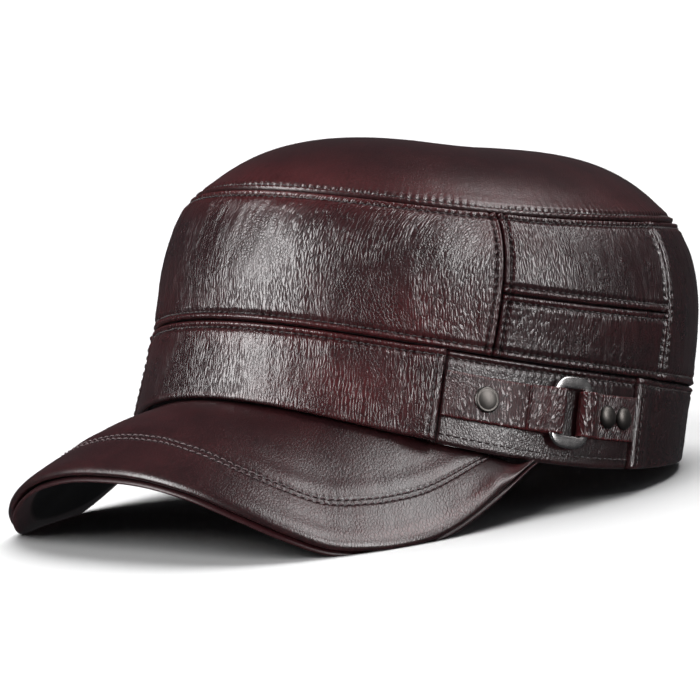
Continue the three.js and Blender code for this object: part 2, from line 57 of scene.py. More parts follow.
# Level outlines of the cap. width and length are shares of the hem's half sizes, back is a share of the
# half length, and tilt, saddle and nose are shares of the crown's height that bend the outline up or down.
OUTLINES = {
    "hem": {"width": 1, "length": 1, "back": 0, "tilt": 0.006, "saddle": 0.073, "nose": 0.016},
    "band": {"width": 0.975, "length": 0.998, "back": 0.045, "tilt": 0.04, "saddle": 0.026, "nose": 0.009},
    "shoulder": {"width": 0.977, "length": 0.963, "back": 0.056, "tilt": -0.002, "saddle": 0.023,
                 "nose": 0.011},
    "top": {"width": 0.869, "length": 0.888, "back": 0.043, "tilt": -0.044, "saddle": 0.02, "nose": 0.013},
}

# Outer edge of the peak from its front centre (round 0) to its end (round 1): place and share of the drop
PEAK_EDGE = [(0, 0.54), (0.17, 0.625), (0.33, 0.79), (0.44, 0.907), (0.56, 1), (0.65, 0.985), (0.73, 0.935),
             (0.83, 0.795), (0.91, 0.555), (0.96, 0.34), (1, 0.13)]

# Height of the leather beside a sewn seam, in shares of the groove's depth, by the distance in millimetres
SEAM_PROFILE = [(0, -1), (0.15, -0.45), (0.4, 0.05), (1.1, 0.42), (1.75, 0.2), (2.35, -0.34), (2.85, -0.14),
                (4, 0.17), (5.6, 0.1), (8.5, 0)]
# Distances from a seam at which the leather has lines of points
SEAM_LINES = [at * MM for at in (0, 0.12, 0.28, 0.5, 0.8, 1.15, 1.55, 1.95, 2.2, 2.4, 2.6, 2.85, 3.2,
                                 3.65, 4.2, 4.8, 5.4, 6.1, 6.8, 7.6)]
# Rise of a folded end, in shares of its full rise, by the distance in millimetres
FOLD_PROFILE = [(0, 1), (3, 0.94), (7, 0.72), (13, 0)]
LEATHER_STEP, INNER_STEP = 0.56 * MM, 5 * MM  # widths of a square of the outer and the inner face
FOLD_STITCHES, HEM_STITCHES = 3.4 * MM, 3.2 * MM  # from a folded end and from the hem to their stitches

# One stitch in places along it: the share of the pitch, the lift and the thickness as shares of the thread
STITCH = [(0.1, -0.75, 0.75), (0.16, -0.05, 1), (0.3, 0.62, 1.05), (0.5, 0.8, 1.1), (0.7, 0.62, 1.05),
          (0.84, -0.05, 1), (0.9, -0.75, 0.75)]
THREAD_SIDES = 6

# Spots where the leather is redder, from rubbed wear and from painted light where the lamps fall: angle round
# the head in degrees, height from the hem in millimetres, their reach in both, and their strength
WORN_AND_LIT = [(0, 80, 75, 9, 0.75), (25, 31, 22, 7, 0.65), (32, 14, 16, 12, 0.8), (43, 36, 16, 14, 0.7),
          (2, 30, 30, 5, 0.35), (92, 42, 22, 6, 0.35), (60, 70, 14, 10, 0.4), (-40, 30, 25, 14, 0.5)]

PEAK_WIDTH = 62 * MM  # the peak's lines are laid out for this width and shrink to the real one

# Rivet heads from their edge to near their middle: shares of the radius and of the height
FLAT_HEAD = [(0.97, 0.0), (1, 0.14), (0.985, 0.34), (0.93, 0.56), (0.86, 0.66), (0.82, 0.62), (0.78, 0.6),
             (0.72, 0.66), (0.6, 0.78), (0.4, 0.9), (0.2, 0.97)]
DOMED_HEAD = [(0.97, 0.0), (1, 0.1), (0.98, 0.24), (0.93, 0.4), (0.85, 0.56), (0.74, 0.71), (0.6, 0.83),
              (0.45, 0.92), (0.3, 0.97), (0.15, 0.995)]
RIVET_SIDES = 48


def a_number(name, description, value, **settings):
    return FloatProperty(name=name, description=description, default=value, **settings)


def a_length(name, description, millimetres):
    return a_number(name, description, millimetres * MM, unit="LENGTH")


def an_angle(name, description, degrees):
    return a_number(name, description, math.radians(degrees), unit="ROTATION")


def a_colour(name, description, *values):
    return FloatVectorProperty(name=name, description=description, default=values, size=3, subtype="COLOR")


class CapSizes(bpy.types.PropertyGroup):
    """Sizes of the cap's body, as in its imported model"""

    hem_half_width: a_length("Hem half width", "Half the width at the hem", 86.4)
    hem_half_length: a_length("Hem half length", "Half the length at the hem", 103)
    band_height: a_length("Band height", "Height of the band", 27.9)
    shoulder_height: a_length("Shoulder height", "Height of the panels' widest line", 60.3)
    crown_height: a_length("Crown height", "Height of the top seam", 79.2)
    dome_rise: a_length("Dome rise", "Rise of the crown above the top seam", 23)
    dome_squareness: a_number("Dome squareness", "How flat the crown's middle is", 4)
    panel_wall: a_length("Panel leather", "Thickness of the panels and the crown", 1.7)
    band_wall: a_length("Band leather", "Thickness of the band", 2.3)
    gap: a_length("Gap", "Gap between neighbouring pieces", 0.3)
    front_seam: an_angle("Front seam", "Angle of the seam behind the front panel", 60.3)
    back_seam: an_angle("Back seam", "Angle of the seam before the back panel", 105.7)
    front_band: an_angle("Front band end", "Angle where the front band ends", 50.9)
    back_band: an_angle("Back band end", "Angle where the back band ends", 96.6)
    side_seam: a_length("Side seam height", "Height of the seam across each side", 17.5)
    fold_rise: a_length("Folded end", "How far the band's folded ends stand out", 1.9)
    rest_tilt: an_angle("Lean", "How far the cap leans back where it lies", -12.1979)
    rest_back: a_length("Shift back", "From the hem's centre to the frame's origin", 17.699)
    rest_up: a_length("Shift up", "Height of the hem's centre as the cap lies", 16.855)


class CapPeak(bpy.types.PropertyGroup):
    """Sizes of the peak"""

    reach: a_length("Reach", "How far the peak reaches past the hem", 45.9)
    drop: a_length("Drop", "How far the peak's wings hang below the hem", 39.7)
    end_angle: an_angle("End", "Angle where the peak ends under the band", 72)
    squareness: a_number("Squareness", "How square the peak's outline is", 2.67)
    bulge: a_length("Bulge", "Rise of the middle of the peak", 5.4)
    tuck: a_length("Tuck", "How far the peak reaches in under the band", 3.2)
    clearance: a_length("Clearance", "Gap between the hem and the peak", 0.05)
    end_step: a_length("End step", "How far the peak's end stands out from the hem", 2.6)
    fan: a_number("Fan", "How the peak's lines spread round the hem", 0.4)
    cover: a_length("Cover", "Thickness of the upper cover with its board", 2.4)
    roll: a_length("Roll", "Thickness of the rolled upper edge", 3.3)
    under: a_length("Under cover", "Thickness of the lower cover", 1.5)
    stitch_inset: a_length("Stitching", "From the edge to the middle of the double stitching", 16.2)
    stitch_apart: a_length("Row spacing", "Between the two rows of stitches", 1.9)


class CapStrap(bpy.types.PropertyGroup):
    """Sizes of the side straps, the rings and the rivets"""

    width: a_length("Width", "Width of the strap", 15.2)
    leather: a_length("Leather", "Thickness of the strap's leather", 1.3)
    line: a_number("Line", "Height of the strap's middle, as a share of the band", 0.535, subtype="FACTOR")
    strap_return: a_length("Strap return", "Length of the strap's returned layer", 13.4)
    tab_return: a_length("Tab return", "Length of the tab's returned layer", 9.6)
    ring_width: a_length("Ring width", "Width of the ring", 18)
    ring_height: a_length("Ring height", "Height of the ring", 24.4)
    ring_thickness: a_length("Ring thickness", "Thickness of the ring", 1.5)
    window_width: a_length("Window width", "Width of the opening in the ring", 9.8)
    strap_rivet: a_length("Strap rivet", "Radius of the strap's flat rivet", 4.4)
    tab_rivet: a_length("Tab rivet", "Radius of the tab's domed rivets", 3.9)
    flat_rise: a_length("Flat rivet height", "Height of the flat rivet's head", 1.45)
    domed_rise: a_length("Domed rivet height", "Height of the domed rivets' heads", 2.05)


class CapSewing(bpy.types.PropertyGroup):
    """Stitches and seams"""

    pitch: a_length("Pitch", "Length of a stitch with its gap", 2.75)
    thread: a_length("Thread", "Thickness of the thread", 0.46)
    groove: a_length("Groove", "Depth of a seam's groove", 1.3)
    inset: a_length("Inset", "From the groove to the stitches", 2.4)
    pucker: a_length("Pucker", "Height of the puckers between stitches", 0.42)
    crease: a_length("Creases", "Height of the creases in the panels", 0.26)
    seed: IntProperty(name="Seed", description="Start of the random numbers", default=7)


class CapFinish(bpy.types.PropertyGroup):
    """Colours and finishes"""

    # Burgundy marks rubbed wear, and also painted light on the lit parts of the band, the panels and the
    # crown
    burgundy: a_colour("Burgundy", "Colour where the leather is rubbed red", 0.105, 0.0145, 0.0165)
    oxblood: a_colour("Oxblood", "Colour of most of the leather", 0.032, 0.0075, 0.0092)
    # Painted shade: this dark colour fills the grooves and the grain's hollows, where shade falls
    shade_umber: a_colour("Umber", "Colour in the grooves", 0.005, 0.002, 0.0024)
    black: a_colour("Black", "Colour of the peak's underside", 0.0045, 0.004, 0.004)
    thread: a_colour("Thread", "Colour of the thread", 0.03, 0.011, 0.012)
    # Painted highlight: the peak's thread is a lighter copy of the seams' thread, where it catches the light
    peak_thread: a_colour("Peak thread", "Colour of the thread on the peak", 0.12, 0.062, 0.068)
    ring: a_colour("Ring", "Colour of the ring's metal", 0.4, 0.385, 0.38)
    rivet: a_colour("Rivet", "Colour of the rivets' metal", 0.07, 0.064, 0.06)
    grain: a_length("Grain", "Width of a grain of the leather", 0.95)


class CapStudio(bpy.types.PropertyGroup):
    """Camera, lights and floor"""

    azimuth: an_angle("Azimuth", "Camera's way round from the front", 41.99)
    elevation: an_angle("Elevation", "Camera's height above level", 6.942)
    roll: an_angle("Roll", "Camera's turn about its own axis", -3.919)
    distance: a_length("Distance", "From the camera to its target", 2014.1)
    target: FloatVectorProperty(name="Target", description="Point that the camera looks at",
                                default=(-17.24 * MM, 8.95 * MM, 48.98 * MM), size=3, subtype="TRANSLATION")
    lens: a_number("Lens", "Focal length on a 36 mm sensor", 301.56, unit="CAMERA")
    floor_reach: a_number("Floor", "How far the floor reaches", 30, unit="LENGTH")


GROUPS = {"cap_sizes": CapSizes, "cap_peak": CapPeak, "cap_strap": CapStrap, "cap_sewing": CapSewing,
          "cap_finish": CapFinish, "cap_studio": CapStudio}


# Number helpers

def eased(table, place):
    """Smooth value of a table of (place, value) rows."""
    places = np.array([row[0] for row in table], float)
    values = np.array([row[1] for row in table], float)
    place = np.clip(place, places[0], places[-1])
    row = np.clip(np.searchsorted(places, place, side="right") - 1, 0, len(places) - 2)
    share = (place - places[row]) / (places[row + 1] - places[row])
    return values[row] + (values[row + 1] - values[row]) * (0.5 - 0.5 * np.cos(np.pi * share))


def smooth(low, high, value):
    """0 below low, 1 above high, and eased between."""
    share = np.clip((value - low) / (high - low), 0, 1)
    return share * share * (3 - 2 * share)


def noise(x, y, seed):
    """Smooth seeded noise from -1 to 1, with about one swell for each unit."""
    table = np.random.default_rng(seed).uniform(-1, 1, (256, 256))
    x0, y0 = np.floor(x).astype(int), np.floor(y).astype(int)
    fx, fy = x - x0, y - y0
    fx, fy = fx * fx * (3 - 2 * fx), fy * fy * (3 - 2 * fy)
    low = table[y0 % 256, x0 % 256] * (1 - fx) + table[y0 % 256, (x0 + 1) % 256] * fx
    high = table[(y0 + 1) % 256, x0 % 256] * (1 - fx) + table[(y0 + 1) % 256, (x0 + 1) % 256] * fx
    return low * (1 - fy) + high * fy


def unit(vectors):
    return vectors / np.maximum(np.linalg.norm(vectors, axis=-1, keepdims=True), 1e-12)


def run_along(points):
    """Distance run along a line of points, from 0 at the first."""
    steps = np.linalg.norm(np.diff(points, axis=0), axis=-1)
    return np.concatenate([[0], np.cumsum(steps)])

# Forms of the cap, each a function of arrays

def outline_point(sizes, name, angle):
    """Points of one of the cap's level outlines. The angle runs from the front to the wearer's left."""
    row = OUTLINES[name]
    up = {"hem": 0, "band": sizes.band_height, "shoulder": sizes.shoulder_height,
          "top": sizes.crown_height}[name]
    bend = row["tilt"] * np.cos(angle) + row["saddle"] * np.cos(2 * angle) + row["nose"] * np.cos(3 * angle)
    return np.stack([
        row["width"] * sizes.hem_half_width * np.sin(angle),
        row["back"] * sizes.hem_half_length - row["length"] * sizes.hem_half_length * np.cos(angle),
        up + bend * sizes.crown_height,
    ], axis=-1)


def band_surface(sizes):
    def point(angle, share):
        angle, share = np.broadcast_arrays(angle, share)
        share = share[..., None]
        return outline_point(sizes, "hem", angle) * (1 - share) + outline_point(sizes, "band", angle) * share
    return point


def panel_surface(sizes):
    def point(angle, share):
        angle, share = np.broadcast_arrays(angle, share)
        share = share[..., None]
        return (outline_point(sizes, "band", angle) * (1 - share) * (1 - 2 * share)
                + outline_point(sizes, "shoulder", angle) * 4 * share * (1 - share)
                + outline_point(sizes, "top", angle) * share * (2 * share - 1))
    return point


def crown_surface(sizes):
    centre = np.array([0, OUTLINES["top"]["back"] * sizes.hem_half_length, sizes.crown_height])

    def point(angle, inward):
        angle, inward = np.broadcast_arrays(angle, inward)
        out = 1 - inward[..., None]
        place = centre * (1 - out) + outline_point(sizes, "top", angle) * out
        place[..., 2] += sizes.dome_rise * (1 - out[..., 0] ** sizes.dome_squareness)
        return place
    return point


def normals(surface, u, v, step=1e-3):
    along_u = surface(u + step, v) - surface(u - step, v)
    along_v = surface(u, v + step) - surface(u, v - step)
    return unit(np.cross(along_u, along_v))


def laid(sizes, points):
    """Leans the cap back and moves it to where it lies on the floor."""
    turn = np.array(Matrix.Rotation(sizes.rest_tilt, 3, "X"))
    return points @ turn.T + np.array([0, sizes.rest_back, sizes.rest_up])


# Meshes

def make_mesh(name, points, faces, attributes=None, flatten=False):
    """A smooth mesh object from points and from face arrays of any width, with float attributes."""
    if flatten:
        points = np.concatenate([points[:, :2], np.maximum(points[:, 2:], 0)], axis=1)
    mesh = bpy.data.meshes.new(name)
    corners = np.concatenate([face.reshape(-1) for face in faces])
    widths = np.concatenate([np.full(len(face), face.shape[1]) for face in faces])
    mesh.vertices.add(len(points))
    mesh.vertices.foreach_set("co", np.asarray(points, np.float32).reshape(-1))
    mesh.loops.add(len(corners))
    mesh.loops.foreach_set("vertex_index", corners.astype(np.int32))
    mesh.polygons.add(len(widths))
    mesh.polygons.foreach_set("loop_start", np.concatenate([[0], np.cumsum(widths)[:-1]]).astype(np.int32))
    mesh.update(calc_edges=True)
    mesh.shade_smooth()
    for key, values in (attributes or {}).items():
        values = np.asarray(values, np.float32)
        kind, field = ("FLOAT_VECTOR", "vector") if values.ndim == 2 else ("FLOAT", "value")
        mesh.attributes.new(key, kind, "POINT").data.foreach_set(field, values.reshape(-1))
    piece = bpy.data.objects.new(name, mesh)
    bpy.context.scene.collection.objects.link(piece)
    return piece


def grid_faces(index, closed=False):
    """Quads between the rows and columns of an index grid, which face out where rows run up the surface."""
    if closed:
        index = np.concatenate([index, index[:, :1]], axis=1)
    return np.stack([index[:-1, :-1], index[:-1, 1:], index[1:, 1:], index[1:, :-1]], axis=-1).reshape(-1, 4)


def ladder(first, second, first_at, second_at):
    """Triangles between two lines of points. They face the side that a quad of first, second would face."""
    faces = []
    i = j = 0
    while i < len(first) - 1 or j < len(second) - 1:
        if j == len(second) - 1 or (i < len(first) - 1 and first_at[i + 1] <= second_at[j + 1]):
            faces.append((first[i], second[j], first[i + 1]))
            i += 1
        else:
            faces.append((first[i], second[j], second[j + 1]))
            j += 1
    return np.array(faces)


def edge_loop(index, left, bottom):
    """The four sides of an index grid in turn, with each point's place from 0 to 1 along its side."""
    def place(values):
        return (values - values[0]) / (values[-1] - values[0])
    return [
        (index[0], place(left[0])),
        (index[:, -1], place(bottom[:, -1])),
        (index[-1, ::-1], place(-left[-1, ::-1])),
        (index[::-1, 0], place(-bottom[::-1, 0])),
    ]


def closed_wall(outer, inner):
    """Points and faces of a wall from an outer and an inner grid, each with points, left and bottom."""
    rows, columns = outer["left"].shape
    outer_index = np.arange(rows * columns).reshape(rows, columns)
    inner_rows, inner_columns = inner["left"].shape
    inner_index = rows * columns + np.arange(inner_rows * inner_columns).reshape(inner_rows, inner_columns)
    quads = [grid_faces(outer_index), grid_faces(inner_index)[:, ::-1]]
    outer_sides = edge_loop(outer_index, outer["left"], outer["bottom"])
    inner_sides = edge_loop(inner_index, inner["left"], inner["bottom"])
    triangles = [ladder(a, b, at, bt) for (a, at), (b, bt) in zip(outer_sides, inner_sides)]
    points = np.concatenate([outer["points"].reshape(-1, 3), inner["points"].reshape(-1, 3)])
    return points, [np.concatenate(quads), np.concatenate(triangles)]


# Cut pieces of leather, measured along the surface

def spread(length, start, end, step):
    """Distances along pieces of some lengths: the start and end lines as given, even lines between."""
    length = np.atleast_1d(length)[:, None]
    start, end = np.array(start)[None, :], np.array(end)[None, ::-1]
    first, last = start[:, -1:], length - end[:, :1]
    count = max(1, int(round(float(np.mean(last - first)) / step)))
    middle = first + (last - first) * (np.arange(1, count) / count)[None, :]
    first_lines = np.broadcast_to(start, (len(length), start.shape[1]))
    return np.concatenate([first_lines, middle, length - end], axis=1)


def cut_grid(surface, angles, shares, edges, clear, step):
    """A grid on a surface with true distances from its four edges: left, right, bottom and top.

    edges holds the lines of left, right, bottom and top, clear the gap left free at each."""
    table_angle = np.linspace(angles[0], angles[1], 241)
    table_share = np.linspace(shares[0], shares[1], 61)
    columns = surface(table_angle[:, None], table_share[None, :])
    runs = np.stack([run_along(column) for column in columns])
    heights = runs[:, -1] - clear[2] - clear[3]
    up = spread(heights, edges[2], edges[3], step) + clear[2]
    share_at = np.stack([np.interp(up[k], runs[k], table_share) for k in range(len(up))])
    row_runs = [run_along(surface(table_angle, share_at[:, row])) for row in range(up.shape[1])]
    mean_width = np.mean([run[-1] for run in row_runs]) - clear[0] - clear[1]
    nominal = spread(mean_width, edges[0], edges[1], step)[0]
    start, end = edges[0][-1], mean_width - edges[1][-1]
    middle = (nominal > start) & (nominal < end)
    keys = ("angle", "share", "left", "right", "bottom", "top")
    grid = {key: [] for key in keys}
    for row, run in enumerate(row_runs):
        width = run[-1] - clear[0] - clear[1]
        at = np.where(nominal >= end, width - (mean_width - nominal), nominal)
        at = np.where(middle, start + (nominal - start) * (width - start - edges[1][-1]) / (end - start), at)
        angle = np.interp(at + clear[0], run, table_angle)
        values = [angle, np.interp(angle, table_angle, share_at[:, row]), at, width - at,
                  np.interp(angle, table_angle, up[:, row] - clear[2]),
                  np.interp(angle, table_angle, heights + clear[2] - up[:, row])]
        for key, value in zip(keys, values):
            grid[key].append(value)
    grid = {key: np.array(value) for key, value in grid.items()}
    grid["points"] = surface(grid["angle"], grid["share"])
    grid["normals"] = normals(surface, grid["angle"], grid["share"])
    return grid


def rim(thickness, pieces=6):
    """Distance and offset of the lines round a rolled edge, from the inner face to the outer one."""
    radius = thickness / 2
    turns = np.linspace(-math.pi / 2, math.pi / 2, pieces + 1)
    return [(radius - radius * math.cos(turn), -radius + radius * math.sin(turn)) for turn in turns]


def seam_height(sewing, distance, along, run, seed):
    """Height of the leather beside a seam, with a pucker between every two stitches."""
    stitches = np.maximum(1, np.round(np.max(run) / sewing.pitch))
    beat = along / run * stitches
    wave = np.cos(2 * np.pi * beat)
    uneven = 0.7 + 0.5 * noise(beat * 0.45, distance / (3 * MM), seed)
    from_row = distance - sewing.inset
    near = np.exp(-(from_row / (0.55 * MM)) ** 2)
    fan = np.exp(-np.abs(from_row) / (1.7 * MM)) * smooth(0, 1 * MM, distance)
    height = sewing.groove * eased(SEAM_PROFILE, distance / MM)
    return height - sewing.pucker * uneven * (near * (0.6 + 0.6 * wave) + 0.55 * fan * wave)


def leather_height(sewing, grid, sewn, creases, seed):
    """Height of a piece of leather over its form, from its seams, its creases and its own softness."""
    left, right, bottom, top = grid["left"], grid["right"], grid["bottom"], grid["top"]
    edges = [(left, bottom, bottom + top), (right, bottom, bottom + top),
             (bottom, left, left + right), (top, left, left + right)]
    height = np.zeros_like(left)
    for number, (is_sewn, (distance, along, run)) in enumerate(zip(sewn, edges)):
        if is_sewn:
            height += seam_height(sewing, distance, along, run, seed + number)
    x, y = left / MM, bottom / MM
    slant = x + 0.22 * y + 1.2 * noise(x / 14, y / 14, seed + 20)
    fine = noise(slant / 1.35, y / 5.2, seed + 21) * 0.55 + noise(slant / 2.4, y / 9, seed + 22) * 0.75
    broad = noise(slant / 6.5, y / 20, seed + 23)
    patches = 0.55 + 0.45 * noise(x / 26, y / 22, seed + 24)
    inside = smooth(2.6 * MM, 6 * MM, np.minimum(np.minimum(left, right), np.minimum(bottom, top)))
    height += inside * sewing.crease * creases * (fine * patches + 0.8 * broad)
    height += inside * 0.25 * MM * creases * noise(x / 38, y / 30, seed + 25)
    return height


def stitches(points, out, sewing, count=None):
    """One row of thread: each stitch dips into the leather at both ends. Returns points and faces."""
    run = run_along(points)
    count = count or max(1, int(round(run[-1] / sewing.pitch)))
    pitch = run[-1] / count
    share, lift, thick = np.array(STITCH).T
    at = (np.arange(count)[:, None] + share) * pitch

    def along(values):
        return np.stack([np.interp(at, run, values[:, k]) for k in range(3)], axis=-1)
    place, up = along(points), unit(along(out))
    side = unit(np.cross(up, unit(np.gradient(place, axis=1))))
    slant = np.linspace(-1, 1, len(STITCH))[None, :, None]
    lean = np.random.default_rng(sewing.seed + count).normal(0, 0.09 * MM, (count, 1, 1)) * slant
    place = place + side * (lean + 0.12 * MM * slant)
    turns = np.linspace(0, 2 * np.pi, THREAD_SIDES + 1)[:-1, None]
    ring = side[:, :, None] * np.cos(turns) + up[:, :, None] * np.sin(turns)
    middle = place + up * (lift * sewing.thread)[:, None]
    tube = middle[:, :, None] + ring * (thick * sewing.thread / 2)[:, None, None]
    index = np.arange(tube[..., 0].size).reshape(tube.shape[:-1])
    wrapped = np.concatenate([index, index[:, :, :1]], axis=2)
    quads = np.stack([wrapped[:, :-1, :-1], wrapped[:, :-1, 1:], wrapped[:, 1:, 1:], wrapped[:, 1:, :-1]],
                     axis=-1)
    caps = np.concatenate([index[:, 0, ::-1], index[:, -1]])
    return tube.reshape(-1, 3), [quads.reshape(-1, 4), caps]


def join(parts):
    """Joins several (points, faces) pairs into one."""
    points, faces, start = [], {}, 0
    for part_points, part_faces in parts:
        points.append(part_points)
        for face in part_faces:
            faces.setdefault(face.shape[1], []).append(face + start)
        start += len(part_points)
    return np.concatenate(points), [np.concatenate(group) for group in faces.values()]


# Materials

class Nodes:
    """A short way to write a material's nodes."""

    def __init__(self, name):
        self.material = bpy.data.materials.new(name)
        self.material.use_nodes = True
        self.tree = self.material.node_tree

    def put(self, value, socket):
        """Links an output to a socket, or sets a plain value on it."""
        if isinstance(value, bpy.types.NodeSocket):
            self.tree.links.new(value, socket)
        else:
            socket.default_value = value

    def add(self, kind, inputs=None, **settings):
        node = self.tree.nodes.new("ShaderNode" + kind)
        for key, value in settings.items():
            setattr(node, key, value)
        for key, value in (inputs or {}).items():
            self.put(value, node.inputs[key])
        return node

    def math(self, operation, a, b, clamp=False):
        return self.add("Math", {0: a, 1: b}, operation=operation, use_clamp=clamp).outputs[0]

    def plus(self, a, b):
        return self.math("ADD", a, b)

    def less(self, a, b):
        return self.math("SUBTRACT", a, b)

    def times(self, a, b, clamp=False):
        return self.math("MULTIPLY", a, b, clamp)

    def mix(self, share, a, b):
        """A colour between a and b."""
        node = self.add("Mix", data_type="RGBA")
        for key, value in (("Factor", share), ("A", a), ("B", b)):
            self.put(value, next(socket for socket in node.inputs if socket.name == key and socket.enabled))
        return next(socket for socket in node.outputs if socket.enabled)

    def attribute(self, name, output="Fac"):
        return self.add("Attribute", attribute_name=name).outputs[output]

    def noise(self, place, scale, detail, roughness=0.5, output="Fac"):
        inputs = {"Vector": place, "Scale": scale, "Detail": detail, "Roughness": roughness}
        return self.add("TexNoise", inputs).outputs[output]

    def shade(self, base, roughness, height, depth, strength=1.0, **constants):
        """Sets the shader: colour, roughness, relief of that depth in millimetres, and constants."""
        bump = self.add("Bump", {"Strength": strength, "Distance": depth * MM, "Height": height}).outputs[0]
        inputs = {"Base Color": base, "Roughness": roughness, "Normal": bump}
        inputs.update({name.replace("_", " "): value for name, value in constants.items()})
        for name, value in inputs.items():
            self.put(value, self.tree.nodes["Principled BSDF"].inputs[name])
        return self.material


def colour(values, share=1.0):
    return (values[0] * share, values[1] * share, values[2] * share, 1)


def leather_material(name, finish, redness=1.0, roughness=0.28, relief=1.0, ridges=0.8):
    """Grained leather: upright wrinkles that give way to round pebbles, redder where it is rubbed and where
    painted light falls, and darkened with painted shade in its hollows and grooves.
    """
    nodes = Nodes(name)
    plus, less, times = nodes.plus, nodes.less, nodes.times
    grain, groove = nodes.attribute("grain", "Vector"), nodes.attribute("groove")
    drift = nodes.noise(grain, 0.2 / MM, 2, output="Color")
    drift = nodes.add("VectorMath", {0: drift, "Scale": 1.5 * MM}, operation="SCALE").outputs[0]
    place = nodes.add("VectorMath", {0: grain, 1: drift}, operation="ADD").outputs[0]

    def pebbles(wide, long, lean):
        scale = [finish.grain * share for share in (wide, long, wide)]
        laid_out = nodes.add("Mapping", {"Vector": place, "Rotation": (0, 0, lean), "Scale": scale},
                             vector_type="TEXTURE").outputs[0]
        cells = nodes.add("TexVoronoi", {"Vector": laid_out, "Scale": 1.0}, feature="DISTANCE_TO_EDGE")
        domes = nodes.math("POWER", times(cells.outputs["Distance"], 2.3, clamp=True), 0.6)
        return plus(times(domes, 0.75), times(nodes.noise(laid_out, 0.8, 2, 0.55), 0.55))

    wrinkled = times(less(nodes.noise(grain, 0.035 / MM, 1), 0.75 - ridges / 2), 5, clamp=True)
    wrinkles, round_grain = pebbles(1.05, 4.1, 0.2), pebbles(1, 1.25, 0.5)
    pattern = plus(round_grain, times(wrinkled, less(times(wrinkles, 1.3), round_grain)))
    height = plus(pattern, times(nodes.noise(grain, 3.2 / finish.grain, 2), 0.1))
    patches = nodes.noise(grain, 0.055 / MM, 4, 0.6)
    # Redder with rubbed wear and with painted light, in random patches
    wear_and_light = plus(nodes.attribute("burnish"), times(less(patches, 0.5), 0.8))
    base = nodes.mix(times(wear_and_light, redness, clamp=True), colour(finish.oxblood), colour(finish.burgundy))
    # Painted shade: darker in the grain's hollows, and in the grooves
    base = nodes.mix(times(less(0.9, pattern), 1, clamp=True), base, colour(finish.shade_umber))
    base = nodes.mix(groove, base, colour(finish.shade_umber))
    rough = plus(plus(times(patches, 0.14), roughness - 0.07), times(groove, 0.15))
    return nodes.shade(base, rough, height, 0.155 * relief, Specular_IOR_Level=0.5, Coat_Weight=0.12,
                       Coat_Roughness=0.3)


def black_material(name, finish):
    """Black lining leather, with a brown trim along its edge."""
    nodes = Nodes(name)
    plus, less, times = nodes.plus, nodes.less, nodes.times
    fine = nodes.noise(nodes.add("TexCoord").outputs["Object"], 1.6 / MM, 4)
    trim = nodes.attribute("trim")
    base = nodes.mix(fine, colour(finish.black, 0.6), colour(finish.black, 1.6))
    base = nodes.mix(trim, base, colour(finish.oxblood, 1.4))
    rough = less(plus(times(fine, 0.2), 0.6), times(trim, 0.32))
    return nodes.shade(base, rough, fine, 0.1, 0.5, Specular_IOR_Level=0.35)


def thread_material(name, finish, tint):
    nodes = Nodes(name)
    thread = getattr(finish, tint)
    fibre = nodes.noise(nodes.add("TexCoord").outputs["Object"], 4 / MM, 3)
    base = nodes.mix(fibre, colour(thread, 0.45), colour(thread, 1.5))
    return nodes.shade(base, nodes.plus(nodes.times(fibre, 0.2), 0.38), fibre, 0.06, 0.6, Sheen_Weight=0.2)


def metal_material(name, finish, tint, roughness):
    """Satin metal with fine brushing and a few dull patches."""
    nodes = Nodes(name)
    plus, times, metal = nodes.plus, nodes.times, getattr(finish, tint)
    place = nodes.add("TexCoord").outputs["Object"]
    brushed = nodes.add("Mapping", {"Vector": place, "Scale": (0.6 / MM, 0.6 / MM, 7 / MM)}).outputs[0]
    lines, dull = nodes.noise(brushed, 1, 3), nodes.noise(place, 0.35 / MM, 4)
    base = nodes.mix(dull, colour(metal, 0.72), colour(metal, 1.25))
    rough = plus(plus(times(lines, 0.14), times(dull, 0.12)), roughness - 0.13)
    return nodes.shade(base, rough, lines, 0.02, 0.25, Metallic=1)


FINISHES = {
    "burgundy_leather_finish": (leather_material, {}),
    "dark_leather_finish": (leather_material, {"redness": 0.55}),
    "calm_leather_finish": (leather_material, {"redness": 0.55, "roughness": 0.3, "relief": 0.7,
                                               "ridges": 0.35}),
    "smooth_leather_finish": (leather_material, {"roughness": 0.32, "relief": 0.4, "ridges": 0.2}),
    "strap_leather_finish": (leather_material, {"redness": 1.4, "roughness": 0.3, "relief": 2}),
    "black_leather_finish": (black_material, {}),
    "thread_finish": (thread_material, {"tint": "thread"}),
    # The peak's thread is the same thread with a painted highlight
    "peak_thread_finish": (thread_material, {"tint": "peak_thread"}),
    "gunmetal_finish": (metal_material, {"tint": "ring", "roughness": 0.26}),
    "nickel_finish": (metal_material, {"tint": "rivet", "roughness": 0.44}),
}


def material(key):
    """The material of that name, made on its first use."""
    maker, settings = FINISHES[key]
    return bpy.data.materials.get(key) or maker(key, bpy.context.scene.cap_finish, **settings)


def add_part(name, points, faces, look, slot, *nodes, marks=None, flatten=False):
    """A piece of the cap as it lies, with its material and body, and the CAD nodes it stands for. The slot is
    not used.
    """
    piece = make_mesh(name, laid(bpy.context.scene.cap_sizes, points), faces, marks, flatten)
    piece.data.materials.append(material(look))
    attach(piece, "root")
    if nodes:
        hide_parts(*nodes)


def sew(name, rows, sewing, slot, look="thread_finish", count=None, flatten=False):
    """Rows of thread, each along a line of points with their normals."""
    points, faces = join([stitches(points, out, sewing, count) for points, out in rows])
    add_part(name + "_stitches", points, faces, look, slot, flatten=flatten)


# Pieces

def whole(values, points):
    """Values of the outer points, followed by 0 for the inner ones."""
    values = values.reshape(-1)
    return np.concatenate([values, np.zeros(len(points) - len(values))])


